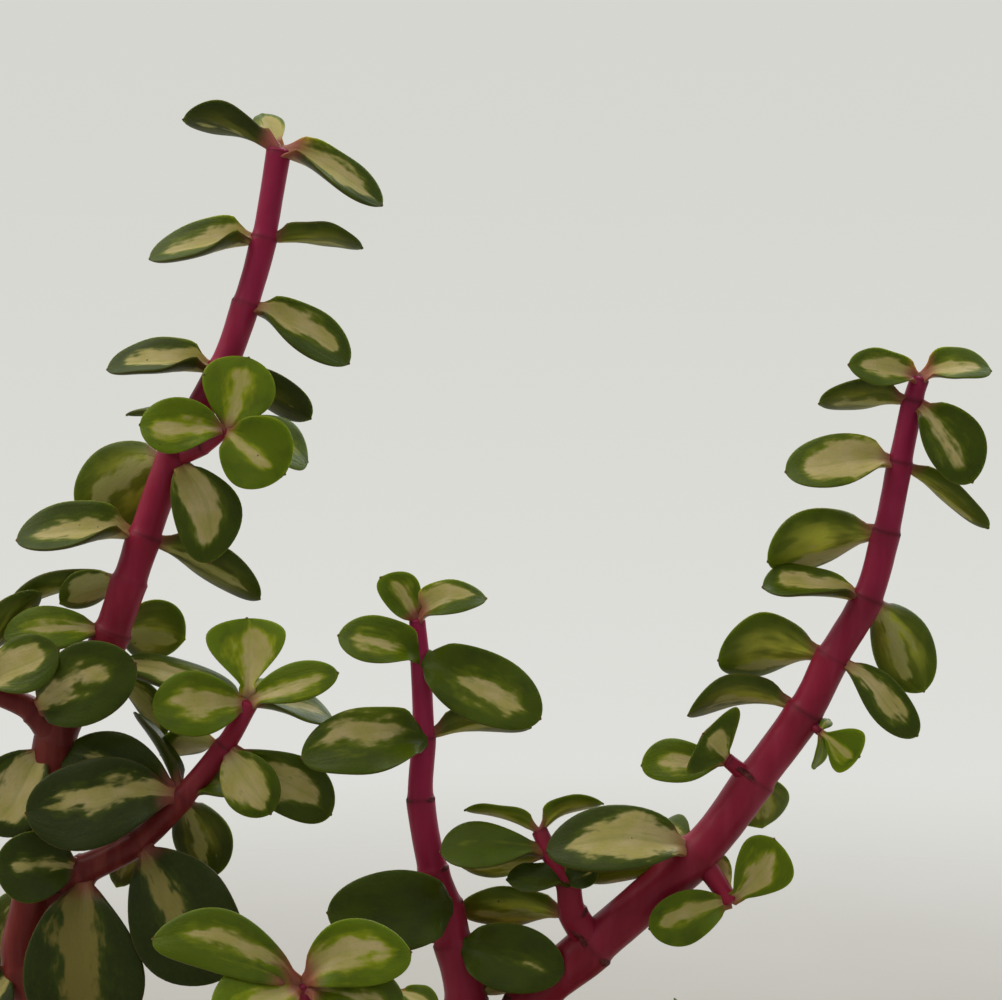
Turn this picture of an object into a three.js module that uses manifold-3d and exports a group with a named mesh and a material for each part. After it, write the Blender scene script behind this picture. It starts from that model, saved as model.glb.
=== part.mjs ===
// Elephant bush (a small branching succulent with fleshy leaves) rooted in a plain terracotta pot.
// Millimetres, +Z up. The origin is the centre of the pot's foot, on the surface it stands on.
// The plant's side with most of its leaves' upper faces looks towards -Y.
import * as THREE from 'three';
import { mergeVertices } from 'three/addons/utils/BufferGeometryUtils.js';
import Module from 'manifold-3d';

const wasm = await Module();
wasm.setup();

// ---------------------------------------------------------------- driving dimensions

const POT_HEIGHT = 100;
const RIM_RADIUS = 65;
const FOOT_RADIUS = 43;
const RIM_BAND = 24; // height of the thicker band round the mouth
const BAND_STEP = 4.5; // how far the band stands out from the wall below it
const WALL = 5;
const FLOOR = 6;
const LIP_ROUND = 1.8;
const DRAIN_RADIUS = 6;
const POT_SIDES = 48;

const SOIL_EDGE = 92; // height of the soil at the pot's wall
const SOIL_MOUND = 94.5; // and round the trunk
const TRUNK_FOOT = 70; // the trunk's lower end, down in the soil
const SEAT_GAP = 0.3; // left between two pieces that touch

const LEAF_THICKNESS = 0.11; // of the blade's length
const THINNEST_LEAF = 0.9;
const STALK_SHARE = 0.28; // width of a leaf's stalk, as a share of the blade's width
const BASE_FOLD = 3; // how much more steeply a blade's sides fold up beside its stalk
const NODE_SWELLING = 1.08; // a stem is a little thicker where leaves grow
const NODE_WAIST = 0.95; // and thinner halfway between
const STEM_SIDES = 8;
const SHOOT_SIDES = 6;
const TRUNK_SIDES = 12;

// ---------------------------------------------------------------- colours

const TERRACOTTA = { color: 0xb5653f, roughness: 0.85, metalness: 0 };
const SOIL = { color: 0x3b2c20, roughness: 1, metalness: 0 };
const BARK = { color: 0x5a2430, roughness: 0.7, metalness: 0 };
const FOLIAGE = { color: 0x5a7030, roughness: 0.45, metalness: 0 };

// ---------------------------------------------------------------- solids

// A closed surface's shared vertices are merged, so that it bounds one solid.
function toSolid(geometry) {
  const bare = geometry.clone();
  bare.deleteAttribute('normal');
  bare.deleteAttribute('uv');
  const merged = mergeVertices(bare, 1e-4);
  const vertProperties = new Float32Array(merged.attributes.position.array);
  const triVerts = new Uint32Array(merged.index.array);
  return new wasm.Manifold(new wasm.Mesh({ numProp: 3, vertProperties, triVerts }));
}

function toGeometry(solid) {
  const mesh = solid.getMesh();
  const geometry = new THREE.BufferGeometry();
  geometry.setAttribute('position', new THREE.BufferAttribute(mesh.vertProperties, 3));
  geometry.setIndex(new THREE.BufferAttribute(mesh.triVerts, 1));
  return geometry;
}

// The largest of the bodies that a cut leaves; the loose scraps are dropped.
function largestBody(solid) {
  const bodies = solid.decompose();
  bodies.sort((a, b) => b.volume() - a.volume());
  return bodies[0];
}

// Rings of points, all of the same length, are joined into a tube. Both ends are closed with a
// fan round one more point each.
function skin(rings, firstCentre, lastCentre) {
  const count = rings[0].length;
  const points = [...rings.flat(), firstCentre, lastCentre];
  const first = points.length - 2;
  const last = points.length - 1;
  const top = (rings.length - 1) * count;
  const index = [];
  for (let k = 0; k < count; k += 1) {
    const next = (k + 1) % count;
    for (let row = 0; row < top; row += count) {
      index.push(row + k, row + next, row + count + next);
      index.push(row + k, row + count + next, row + count + k);
    }
    index.push(first, next, k);
    index.push(last, top + k, top + next);
  }
  const geometry = new THREE.BufferGeometry().setFromPoints(points);
  geometry.setIndex(index);
  return toSolid(geometry);
}

// ---------------------------------------------------------------- stems

// A stem follows a smooth curve through its nodes and tapers from its first radius to its last.
// With `extra` it is that much larger all round, which makes the cutter that seats other pieces.
function stemSolid(branch, sides = STEM_SIDES, extra = 0) {
  const places = branch.nodes.map((one) => one.at);
  const curve = new THREE.CatmullRomCurve3(places, false, 'catmullrom', 0.5);
  const steps = 2 * (places.length - 1);
  const centres = [];
  for (let step = 0; step <= steps; step += 1) centres.push(curve.getPoint(step / steps));
  centres[0].addScaledVector(curve.getTangent(0), -extra);
  const side = new THREE.Vector3(0.3, 1, 0.2);
  const rings = centres.map((centre, step) => {
    const tangent = curve.getTangent(step / steps);
    side.addScaledVector(tangent, -side.dot(tangent)).normalize();
    const other = new THREE.Vector3().crossVectors(tangent, side);
    const swelling = step % 2 === 0 ? NODE_SWELLING : NODE_WAIST;
    const taper = THREE.MathUtils.lerp(branch.firstRadius, branch.lastRadius, step / steps);
    const radius = taper * swelling + extra;
    const ring = [];
    for (let k = 0; k < sides; k += 1) {
      const turn = (2 * Math.PI * k) / sides;
      ring.push(
        centre
          .clone()
          .addScaledVector(side, radius * Math.cos(turn))
          .addScaledVector(other, radius * Math.sin(turn)),
      );
    }
    return ring;
  });
  const crownHeight = 0.6 * branch.lastRadius + extra;
  const crown = centres[steps].clone().addScaledVector(curve.getTangent(1), crownHeight);
  return skin(rings, centres[0], crown);
}

// ---------------------------------------------------------------- leaves

// Width of the blade at `t` (0 at the stem, 1 at the tip) as a share of its widest. It is widest
// at `peak`, and round towards the tip. The higher `base` is, the more it narrows to its stalk.
function bladeShare(t, { peak, base }) {
  const fromPeak = Math.max((t - peak) / (1 - peak), 0);
  const tipSide = (1 - fromPeak ** 2) ** 0.52;
  const stemSide = Math.sin((Math.PI / 2) * Math.min(t / peak, 1)) ** base;
  const stalk = STALK_SHARE * THREE.MathUtils.clamp(3 * (0.5 - t), 0, 1);
  return Math.max(tipSide * stemSide, stalk);
}

// One fleshy leaf. Along its length the blade bows by `arch`, its sides are folded up by `cup`,
// and `sway` bows it sideways. The outline of each cross-section has six points: the two edges,
// and two points on each face between them. Both ends close to a point, the first of them inside
// the stem.
const BLADE_STATIONS = [0.15, 0.32, 0.52, 0.72, 0.9];
const BLADE_SECTION = [
  { across: -1, face: 0 },
  { across: -0.45, face: 1 },
  { across: 0.45, face: 1 },
  { across: 1, face: 0 },
  { across: 0.45, face: -1 },
  { across: -0.45, face: -1 },
];

function leafSolid(place, blade) {
  const root = new THREE.Vector3(place.x + blade.aside, place.y - blade.ahead, place.z);
  const length = blade.reach.length();
  const along = blade.reach.clone().normalize();
  const up = blade.up.clone();
  up.addScaledVector(along, -up.dot(along)).normalize();
  const sideways = new THREE.Vector3().crossVectors(along, up);
  const spine = (t, lift) => {
    const bow = 4 * length * t * (1 - t);
    return root
      .clone()
      .addScaledVector(along, length * t)
      .addScaledVector(up, blade.arch * bow + lift)
      .addScaledVector(sideways, blade.sway * bow);
  };
  const rings = BLADE_STATIONS.map((t) => {
    const half = (bladeShare(t, blade) * blade.width) / 2;
    const gutter = blade.cup * half * (1 - 0.6 * t + BASE_FOLD * Math.exp(-((t / 0.28) ** 2)));
    const thick = (Math.max(LEAF_THICKNESS * length, THINNEST_LEAF) / 2) * (1 - 0.5 * t ** 3);
    return BLADE_SECTION.map(({ across, face }) => {
      const fold = gutter * Math.abs(across) ** 1.5;
      const flesh = face * thick * Math.sqrt(1 - Math.abs(across) ** 2.5);
      return spine(t, fold + flesh).addScaledVector(sideways, half * across);
    });
  });
  return skin(rings, spine(0, 0), spine(1, 0));
}

// ---------------------------------------------------------------- how the plant is described

const PLAIN_LEAF = { twist: 0, arch: 0.1, cup: 0.28, sway: 0, peak: 0.6, base: 0.85, aside: 0, ahead: 0 };

// leaf(dx, dy, dz, width, face): the tip's place from the stem's centre, the blade's width, and
// how far in degrees its upper face is turned from straight up (0) towards -Y (90); a leaf that
// shows its underside to -Y has a negative angle. A blade whose round foot laps over the stem
// starts `aside` of the stem's centre (+X) and `ahead` of it (-Y).
function leaf(dx, dy, dz, width, face, details = {}) {
  const shape = { ...PLAIN_LEAF, ...details };
  const tilt = THREE.MathUtils.degToRad(face);
  const turn = THREE.MathUtils.degToRad(shape.twist);
  const up = new THREE.Vector3(
    Math.sin(tilt) * Math.sin(turn),
    -Math.sin(tilt) * Math.cos(turn),
    Math.cos(tilt),
  );
  return { ...shape, reach: new THREE.Vector3(dx, dy, dz), up, width };
}

// node(x, y, z, leaves...): a place on a stem, and the leaves that grow there.
function node(x, y, z, ...leaves) {
  return { at: new THREE.Vector3(x, y, z), leaves };
}

function branch(firstRadius, lastRadius, ...nodes) {
  return { firstRadius, lastRadius, nodes };
}

// A number between -1 and 1 that looks random, and is the same each time for the same key.
function draw(key) {
  const wide = 43758.5453 * Math.sin(12.9898 * key);
  return 2 * (wide - Math.floor(wide)) - 1;
}

// A low shoot bears a pair of leaves at each node past its root, each pair a quarter turn from
// the one below it. Leaves are longest low down, and stand steeper towards the tip.
const PAIR_LENGTH = 15;
const PAIR_WIDTH = 0.64; // of the leaf's length

function pairedLeaves(stem, seed) {
  const last = stem.nodes.length - 1;
  stem.nodes.slice(1).forEach((one, step) => {
    const grow = new THREE.Vector3().subVectors(one.at, stem.nodes[step].at).normalize();
    const across = new THREE.Vector3(-grow.y, grow.x, 0.15);
    for (const way of [0, 1]) {
      const key = 10 * seed + 2 * step + way;
      const turn = Math.PI * (0.5 * step + way) + 0.3 * draw(key);
      const out = across.clone().applyAxisAngle(grow, turn);
      out.addScaledVector(grow, -out.dot(grow)).normalize();
      const steep = THREE.MathUtils.degToRad(22 + (30 * step) / last + 8 * draw(key + 0.3));
      const length = PAIR_LENGTH * (1.05 - (0.25 * step) / last) * (1 + 0.12 * draw(key + 0.6));
      const reach = out.clone().multiplyScalar(Math.cos(steep)).addScaledVector(grow, Math.sin(steep));
      reach.z += 0.15;
      one.leaves.push({
        ...PLAIN_LEAF,
        reach: reach.normalize().multiplyScalar(length),
        up: new THREE.Vector3(0, 0, 0.6).add(grow),
        width: PAIR_WIDTH * length,
      });
    }
  });
  return stem;
}

// ---------------------------------------------------------------- the plant

// The woody base, from down in the soil to where the centre and right stems part.
const TRUNK = branch(
  7.6,
  5.6,
  node(0, 0, TRUNK_FOOT),
  node(0, 0, 84),
  node(-0.5, 0, 97),
  node(0, 0, 108),
  node(1.2, 0, 119),
  node(2.5, 0, 130),
);

// The left stem leaves the trunk low, runs outwards and then rises. It carries a branch that
// ends in a rosette, a branch that points further outwards, and a small shoot high up.
const LEFT_STEM = [
  branch(4.6, 2,
    node(-2.5, 0, 103.5),
    node(-21.5, 2, 117.5),
    node(-47, 3, 127.5),
    node(-66.5, 2, 139.5),
    node(-74.5, 0, 154.5, leaf(-9, -5, -6, 12, 70)),
    node(-72, 0, 168.5, leaf(-9, 5, -15, 10, -60)),
    node(-69, 2, 192.5, leaf(-10.5, -5, -14.5, 13, 70)),
    node(-62.5, 3, 204.5, leaf(24, 2, -4.5, 8, 35, { arch: 0.06 }),
      leaf(11, 5, -12.5, 5.5, -60, { sway: 0.1 })),
    node(-59.5, 3, 211, leaf(-17.5, -4, -0.5, 8.5, 62), leaf(11, 9, -2.5, 12, -75)),
    node(-56.5, 3, 219.5, leaf(-12, 2, -4, 7.5, -55), leaf(-21.5, 4, -5.5, 6, -30, { arch: 0.12 })),
    node(-54, 4, 227, leaf(-21, -3, -0.5, 10.5, 40, { arch: 0.06, cup: 0.65 }),
      leaf(19, 3, -11, 9.5, -42, { arch: 0.06 })),
    node(-49, 5, 240.5, leaf(-17, 6, -10.5, 15, -75),
      leaf(6.5, -6, -17.5, 11.5, 85, { twist: 10, sway: -0.1 })),
    node(-41, 6, 255, leaf(-19, -2, 0, 9.5, 34, { arch: 0.06, cup: 0.6 }),
      leaf(14.5, 5, -8.5, 8.5, -45, { arch: 0.04 })),
    node(-37, 7, 266, leaf(17.5, -3, -10, 9, 50, { arch: 0.05, cup: 0.6 })),
    node(-34, 8, 277, leaf(-19, -2, -3.5, 9.5, 34, { arch: 0.03, cup: 0.6 }),
      leaf(16.5, 2, -1.5, 9.5, -18, { arch: 0.07 })),
    node(-31.5, 9, 291.5, leaf(-16, 0, 5.5, 9, -32, { arch: 0.13, peak: 0.7, base: 1.5 }),
      leaf(-3.5, 8, 7, 5.5, 35, { arch: 0.02 }),
      leaf(17.5, -2, -9, 7.5, 42, { arch: 0.08, cup: 0.6 })),
  ),
  // the small shoot high up
  branch(1.3, 0.9,
    node(-49.5, 5, 239.5),
    node(-43.5, 1, 242),
    node(-39.5, -2, 245, leaf(-14, -2, 1, 9.5, 75),
      leaf(3.5, 3, 12, 12.5, 92, { arch: 0.04, cup: 0.1 }), leaf(10, -4, -7, 13, 80),
      leaf(13, 6, -5.5, 10, 50), leaf(-17, 4, 2.5, 6, 2)),
  ),
  // the branch that points outwards
  branch(2.4, 1.6,
    node(-69, 2, 192.5),
    node(-72.5, 0, 198, leaf(18.5, -8, 9, 13.5, 80)),
    node(-79.5, -2, 202, leaf(12.5, -4, 7, 10, 68)),
    node(-81, -3, 205, leaf(-6, 0, 3, 10, 40), leaf(9.5, 6, 12.5, 8, -40)),
  ),
  // the branch with the rosette
  branch(2.9, 1.5,
    node(-71.5, 0, 167),
    node(-63.5, -2, 171.5, leaf(-14, -6, 2, 12, 75), leaf(1.5, -9, -28, 20, 88)),
    node(-54.5, -3, 176.5, leaf(15.5, -8, -21, 18.5, 86), leaf(-5, 8, -9.5, 6, -80)),
    node(-47, -3, 184, leaf(-25, -7, -1.5, 15, 70), leaf(-20.5, 3, 6.5, 12, 60),
      leaf(-9, 7, 13, 6.5, -20, { sway: -0.12 }), leaf(4, 6, -15, 10, -80), leaf(13, 2, 1.5, 9, 30)),
    node(-40, -3, 192.5, leaf(8, -5, -10.5, 9.5, 80), leaf(17.5, 2, -12, 10.5, 70),
      leaf(-11.5, 6, -2.5, 8, -40)),
    node(-36, -3, 199.5, leaf(-15.5, -4, 0, 11, 75),
      leaf(-0.5, 3, 14, 13.5, 88, { arch: 0.02, cup: 0.5, peak: 0.78, base: 1.9 }),
      leaf(15, -2, 5.5, 7, 60), leaf(14, 2, -3.5, 8, 25), leaf(2.5, 5, 3.5, 3, 30)),
  ),
];

// The centre stem stands nearly upright, bare in its lower part.
const CENTRE_STEM = [
  branch(4, 1.3,
    node(1.5, 0, 124),
    node(0, 0, 148.5, leaf(10.5, 3, 1.5, 9, -40)),
    node(-2, 0, 158.5, leaf(17, -3.5, -3.5, 11.5, 75,
      { arch: 0.06, peak: 0.5, base: 0.5, aside: 1.5, ahead: 2.4 }),
      leaf(-9.5, 3, -2, 8, -20)),
    node(-3.5, 0, 165, leaf(-20.5, -6, 0.5, 13.6, 80,
      { peak: 0.5, base: 0.5, aside: 1.3, ahead: 2.2 })),
    node(-5.5, 0, 171),
    node(-7.5, 0, 183),
    node(-7, 0, 193.5, leaf(-20.5, -5, -2.5, 11.5, 64,
      { cup: 0.4, peak: 0.5, base: 0.5, aside: 0.5, ahead: 1.3 }), leaf(18, 4, 1, 10, -35)),
    node(-7.5, 0, 207, leaf(-13.5, -2, 4, 8.5, 60,
      { arch: 0.13, cup: 0.4, base: 0.5, ahead: 1.1 }),
      leaf(19.2, -5, -9.5, 12, 74, { arch: 0.02, peak: 0.52, base: 0.5, aside: 0.8, ahead: 1.1 })),
    node(-8, 0, 213, leaf(-6, -1, 7.5, 6.8, 80, { arch: 0.03, sway: 0.1, base: 0.7 }),
      leaf(11.5, -1, 4, 7, 50, { arch: 0.24, cup: 0.45, peak: 0.48, base: 0.65 })),
  ),
];

// The right stem leans out and then rises. It has four short shoots.
const RIGHT_STEM = [
  branch(4.5, 1.5,
    node(2, 0, 124),
    node(10.5, -1, 147.5),
    node(21.5, -2, 158.5),
    node(39, -3, 174.5, leaf(-25.5, -6, 1.5, 12, 55, { arch: 0.16, cup: 0.4, peak: 0.56 }),
      leaf(-6.5, 12, 1.5, 8, 60), leaf(-19, 5, -6, 8, -25, { arch: -0.02 })),
    node(48.5, -3, 187, leaf(2, 9, -10, 11, -78)),
    node(56.5, -4, 198.5, leaf(-19.5, -1, -0.5, 9.5, -42, { arch: 0.2 })),
    node(61, -4, 207.5, leaf(-19, 0, -0.5, 13, -60, { arch: 0.15 }),
      leaf(13.5, -4, -12.5, 7, 76, { cup: 0.5, sway: -0.02 })),
    node(66.5, -5, 217.5, leaf(-17.5, -2, 2, 8.5, 32, { arch: 0.05, cup: 0.6, peak: 0.72, base: 1.1 }),
      leaf(10, 3, -16, 10.5, -80, { sway: 0.05 })),
    node(69.5, -5, 228.5, leaf(-19.5, 0, -5, 11.8, -60, { peak: 0.55 })),
    node(71.5, -6, 240, leaf(-19, -2, -1.5, 10, 55, { arch: 0.05, cup: 0.45 }),
      leaf(15, 2, -11, 6, -22, { arch: 0.04 })),
    node(73.5, -6, 250, leaf(-15, 3, -0.5, 10, -30, { arch: 0.05 }),
      leaf(9, -5, -13, 10, 85, { cup: 0.5, sway: -0.06 })),
    node(74.5, -6, 253.5, leaf(-12, -3, 2.5, 7, 60, { arch: 0.03, cup: 0.45 }),
      leaf(11.5, -1, 1.5, 7.5, 45, { arch: 0.17, cup: 0.35, peak: 0.48 })),
  ),
  // the lower shoot at the inner side
  branch(2.6, 1.3,
    node(21.5, -2, 158.5),
    node(18, -4, 164.5, leaf(-19, 8.5, -2, 9, -60, { arch: 0.04 })),
    node(17, -5, 170, leaf(-10, -1.5, 1, 7.2, 30, { arch: 0.03, base: 0.7, ahead: 1.4 }),
      leaf(5, -1.5, 3, 6, 50, { base: 0.7, ahead: 1.4 })),
    node(14, -4, 175, leaf(-18, -3, 0.5, 9.5, 42, { arch: 0.05, peak: 0.7, base: 1.1 }),
      leaf(-14.5, 6, -4, 8, -60, { arch: -0.04 })),
    node(12.5, -3, 178, leaf(-12.5, 1, 3.5, 7, -22, { arch: 0.09 }),
      leaf(10.5, 1, 4.6, 7.5, -30, { arch: 0.16, peak: 0.48 })),
  ),
  // the shoot at the outer side
  branch(1.9, 1.4,
    node(39, -3, 174),
    node(44, -6, 167, leaf(7, -3, 11, 10, 88, { arch: 0.04, sway: 0.08, peak: 0.72, base: 1.3 }),
      leaf(-13.5, -3, -4, 8.8, 80, { arch: 0.04 }), leaf(-2.5, 7, 6.5, 4.5, 80)),
  ),
  // the upper shoot at the inner side
  branch(1.5, 1.1,
    node(48, -3, 186.5),
    node(43.5, -5, 190.5, leaf(-14, 3, -1.5, 7.5, 72),
      leaf(-4.2, -3, 4.8, 14, 66, { arch: 0.05, peak: 0.82, base: 1.7 })),
  ),
  // the bud
  branch(0.9, 0.6,
    node(56, -4, 197.5),
    node(58.5, -7, 195.5, leaf(6.5, -1, -4, 8, 86, { arch: 0.03, peak: 0.75, base: 1.5 }),
      leaf(-0.5, 2, -6.5, 4, 60, { twist: 40 }), leaf(2, 3, 1.5, 2, 60)),
  ),
];

// A shoot that leans out towards -Y and forks near its top.
const FRONT_STEM = [
  branch(2.4, 1.3,
    node(-1, -3, 101),
    node(-10, -34, 126),
    node(-20, -44, 148.5),
    node(-24, -45, 163, leaf(-22, -3, 8, 9.5, 70, { sway: 0.1 }), leaf(-12.5, -8, -3, 11, 60),
      leaf(16.5, -3, 6, 10.5, 76, { sway: -0.14 }), leaf(15.5, -3, -3.5, 10.5, 60)),
  ),
  // the fork
  branch(1.4, 0.9,
    node(-10, -34, 126),
    node(-9.5, -28, 143.5),
    node(-10.5, -25, 156.5, leaf(-7.5, 2, 0, 6, 40), leaf(6.5, -2, -2, 5, 45)),
  ),
];

// Short leafy shoots round the base: the stem's route, and a seed for its leaves.
const LOW_SHOOTS = {
  low_shoot_back: [node(0, 3, 101), node(2, 20, 108), node(5, 34, 117), node(6, 44, 127)],
  low_shoot_back_left: [node(-2, 3, 104), node(-16, 18, 112), node(-28, 32, 119), node(-34, 42, 128)],
  low_shoot_back_right: [node(2, 2, 106), node(18, 17, 113), node(33, 28, 119), node(42, 36, 128)],
  low_shoot_right: [node(3, 0, 112), node(22, 1, 117), node(38, 2, 123), node(52, 1, 131)],
  low_shoot_front_right: [node(1, -2, 103), node(15, -18, 111), node(26, -32, 118), node(34, -42, 129)],
  low_shoot_front_left: [node(-4, -2, 101), node(-24, -14, 108), node(-42, -26, 114), node(-52, -32, 124)],
};

// ---------------------------------------------------------------- pieces

// A leafy stem's branches and leaves grow together as one body. It is cut back where it meets
// the pieces that it grows from, given as `parents`.
function leafySolid(branches, parents, sides = STEM_SIDES) {
  const parts = [];
  for (const one of branches) {
    parts.push(stemSolid(one, sides));
    for (const place of one.nodes) {
      for (const blade of place.leaves) parts.push(leafSolid(place.at, blade));
    }
  }
  let solid = wasm.Manifold.union(parts);
  for (const parent of parents) solid = solid.subtract(parent);
  return largestBody(solid);
}

// Outer radius of the pot's wall at a height, without the band.
function wallAt(z) {
  return FOOT_RADIUS + ((RIM_RADIUS - BAND_STEP - FOOT_RADIUS) * z) / POT_HEIGHT;
}

// The pot is turned: a straight flaring wall, a thicker band round the mouth with a rounded lip,
// and a drain hole through its floor.
function potGeometry() {
  const bandFoot = POT_HEIGHT - RIM_BAND;
  const insideRim = RIM_RADIUS - BAND_STEP - WALL;
  const profile = [
    [DRAIN_RADIUS, 0],
    [FOOT_RADIUS - 1.5, 0],
    [FOOT_RADIUS, 1.5],
    [wallAt(bandFoot), bandFoot],
    [wallAt(bandFoot) + BAND_STEP, bandFoot + 1.5],
    [RIM_RADIUS, POT_HEIGHT - LIP_ROUND],
    [RIM_RADIUS - LIP_ROUND, POT_HEIGHT],
    [insideRim + LIP_ROUND, POT_HEIGHT],
    [insideRim, POT_HEIGHT - LIP_ROUND],
    [wallAt(FLOOR) - WALL, FLOOR + 2],
    [wallAt(FLOOR) - WALL - 2, FLOOR],
    [DRAIN_RADIUS, FLOOR],
    [DRAIN_RADIUS, 0],
  ];
  return new THREE.LatheGeometry(profile.map(([r, z]) => new THREE.Vector2(r, z)), POT_SIDES);
}

// The soil fills the pot up to below its rim, and is heaped a little round the trunk.
function soilGeometry() {
  const bottom = FLOOR + SEAT_GAP;
  const insideAt = (z) => wallAt(z) - WALL - SEAT_GAP - 0.1;
  const profile = [
    [0, bottom],
    [insideAt(bottom) - 2.5, bottom],
    [insideAt(bottom), bottom + 2.5],
    [insideAt(SOIL_EDGE), SOIL_EDGE],
    [0.6 * RIM_RADIUS, SOIL_EDGE + 0.8],
    [0.2 * RIM_RADIUS, SOIL_MOUND],
    [0, SOIL_MOUND],
  ];
  return new THREE.LatheGeometry(profile.map(([r, z]) => new THREE.Vector2(r, z)), POT_SIDES);
}

// LatheGeometry turns about +Y, and its profile is drawn here as radius and height.
function turnedSolid(geometry) {
  return toSolid(geometry.rotateX(Math.PI / 2));
}

const plant = new THREE.Group();

function addPiece(name, solid, look) {
  const mesh = new THREE.Mesh(toGeometry(solid), new THREE.MeshStandardMaterial(look));
  mesh.name = name;
  plant.add(mesh);
}

const trunkSeat = stemSolid(TRUNK, TRUNK_SIDES, SEAT_GAP);
const leftSeat = stemSolid(LEFT_STEM[0], STEM_SIDES, SEAT_GAP);
const rightSeat = stemSolid(RIGHT_STEM[0], STEM_SIDES, SEAT_GAP);

addPiece('pot', turnedSolid(potGeometry()), TERRACOTTA);
addPiece('soil', turnedSolid(soilGeometry()).subtract(trunkSeat), SOIL);
addPiece('trunk', stemSolid(TRUNK, TRUNK_SIDES), BARK);
addPiece('left_stem', leafySolid(LEFT_STEM, [trunkSeat]), FOLIAGE);
addPiece('right_stem', leafySolid(RIGHT_STEM, [trunkSeat]), FOLIAGE);
addPiece('centre_stem', leafySolid(CENTRE_STEM, [trunkSeat, rightSeat]), FOLIAGE);
addPiece('front_stem', leafySolid(FRONT_STEM, [trunkSeat]), FOLIAGE);
Object.entries(LOW_SHOOTS).forEach(([name, nodes], order) => {
  const shoot = pairedLeaves(branch(1.7, 1, ...nodes), order + 1);
  addPiece(name, leafySolid([shoot], [trunkSeat, leftSeat], SHOOT_SIDES), FOLIAGE);
});

export default plant;
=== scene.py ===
"""Variegated elephant bush with magenta stems, rooted in a plain terracotta pot.

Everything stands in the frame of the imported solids: the origin is the middle of the pot's foot,
+Z is up, and the plant shows most of its leaves' upper faces towards -Y. Sizes are written in
millimetres and become metres when a mesh is made."""

import math

import bmesh
import bpy
import numpy as np
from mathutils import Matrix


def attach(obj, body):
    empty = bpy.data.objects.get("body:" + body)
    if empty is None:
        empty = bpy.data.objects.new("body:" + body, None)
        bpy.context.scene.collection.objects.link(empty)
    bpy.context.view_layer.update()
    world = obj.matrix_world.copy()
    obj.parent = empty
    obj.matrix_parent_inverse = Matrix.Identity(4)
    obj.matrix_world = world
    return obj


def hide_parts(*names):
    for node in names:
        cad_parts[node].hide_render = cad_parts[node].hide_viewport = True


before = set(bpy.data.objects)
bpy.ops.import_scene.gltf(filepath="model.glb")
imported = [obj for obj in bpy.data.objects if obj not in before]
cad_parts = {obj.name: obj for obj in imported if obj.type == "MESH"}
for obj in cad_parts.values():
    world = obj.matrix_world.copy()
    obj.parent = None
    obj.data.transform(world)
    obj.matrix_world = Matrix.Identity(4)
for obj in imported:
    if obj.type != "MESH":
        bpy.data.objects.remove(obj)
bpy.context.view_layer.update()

# ------------------------------------------------------------------------------------- pot
# A turned terracotta pot, unglazed, with a thick band round its mouth and a drain hole in its
# foot. Its section is drawn once as radius and height, and turned about the upright axis.

POT_HEIGHT = 100.0
RIM_RADIUS = 65.0
FOOT_RADIUS = 43.0
RIM_BAND = 24.0
BAND_STEP = 4.5
WALL = 5.0
FLOOR = 6.0
DRAIN_RADIUS = 6.0
POT_SIDES = 144
MM = 0.001


def srgb(code):
    """A hex colour as the linear RGBA that shaders take."""
    parts = np.array([int(code[i:i + 2], 16) for i in (1, 3, 5)]) / 255
    linear = np.where(parts <= 0.04045, parts / 12.92, ((parts + 0.055) / 1.055) ** 2.4)
    return (*linear, 1.0)


USUAL_SETTINGS = {"Mix": {"data_type": "RGBA"},
                  "MapRange": {"interpolation_type": "SMOOTHSTEP"}}


def shader(tree, kind, *given, named=None, output=None, **settings):
    """Adds a shader node and gives back one of its outputs, the first one if none is named.

    A kind in capitals is an operation of the Math node. The given values go to the node's inputs
    in their order, and the named ones by name. A socket is linked, a hex colour is set in linear
    light, and anything else is set as it is. The settings are the node's own, added to the usual
    ones for its kind."""
    if kind.isupper():
        kind, settings["operation"] = "Math", kind
    made = tree.nodes.new("ShaderNode" + kind)
    for name, value in {**USUAL_SETTINGS.get(kind, {}), **settings}.items():
        setattr(made, name, value)
    inputs = list(zip([socket for socket in made.inputs if socket.enabled], given))
    inputs += [(made.inputs[name], value) for name, value in (named or {}).items()]
    for socket, value in inputs:
        if isinstance(value, bpy.types.NodeSocket):
            tree.links.new(value, socket)
        else:
            socket.default_value = srgb(value) if isinstance(value, str) else value
    outputs = [socket for socket in made.outputs if socket.enabled]
    return made.outputs[output] if output else outputs[0]


def material(name, **surface):
    """A new material with its node tree and its Principled shader, set where a value is given."""
    made = bpy.data.materials.new(name)
    made.use_nodes = True
    principled = made.node_tree.nodes["Principled BSDF"]
    for socket, value in surface.items():
        principled.inputs[socket.replace("_", " ")].default_value = value
    return made, made.node_tree, principled


def coat(tree, surface, colour, relief, height_mm, strength=1.0):
    """Gives a surface its colour, and a relief that is height_mm high where it is 1."""
    bump = shader(tree, "Bump", named={"Height": relief, "Distance": height_mm * MM,
                                       "Strength": strength})
    tree.links.new(colour, surface.inputs["Base Color"])
    tree.links.new(bump, surface.inputs["Normal"])


def grid_faces(rows, around, loop=False):
    """The quads of rows of points that each close on themselves, as rows of four indices."""
    row = np.arange(rows if loop else rows - 1)[:, None]
    column = np.arange(around)[None, :]
    following = (row + 1) % rows
    right = (column + 1) % around
    corners = [row * around + column, row * around + right, following * around + right]
    corners.append(following * around + column)
    return np.stack(corners, -1).reshape(-1, 4)


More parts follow.
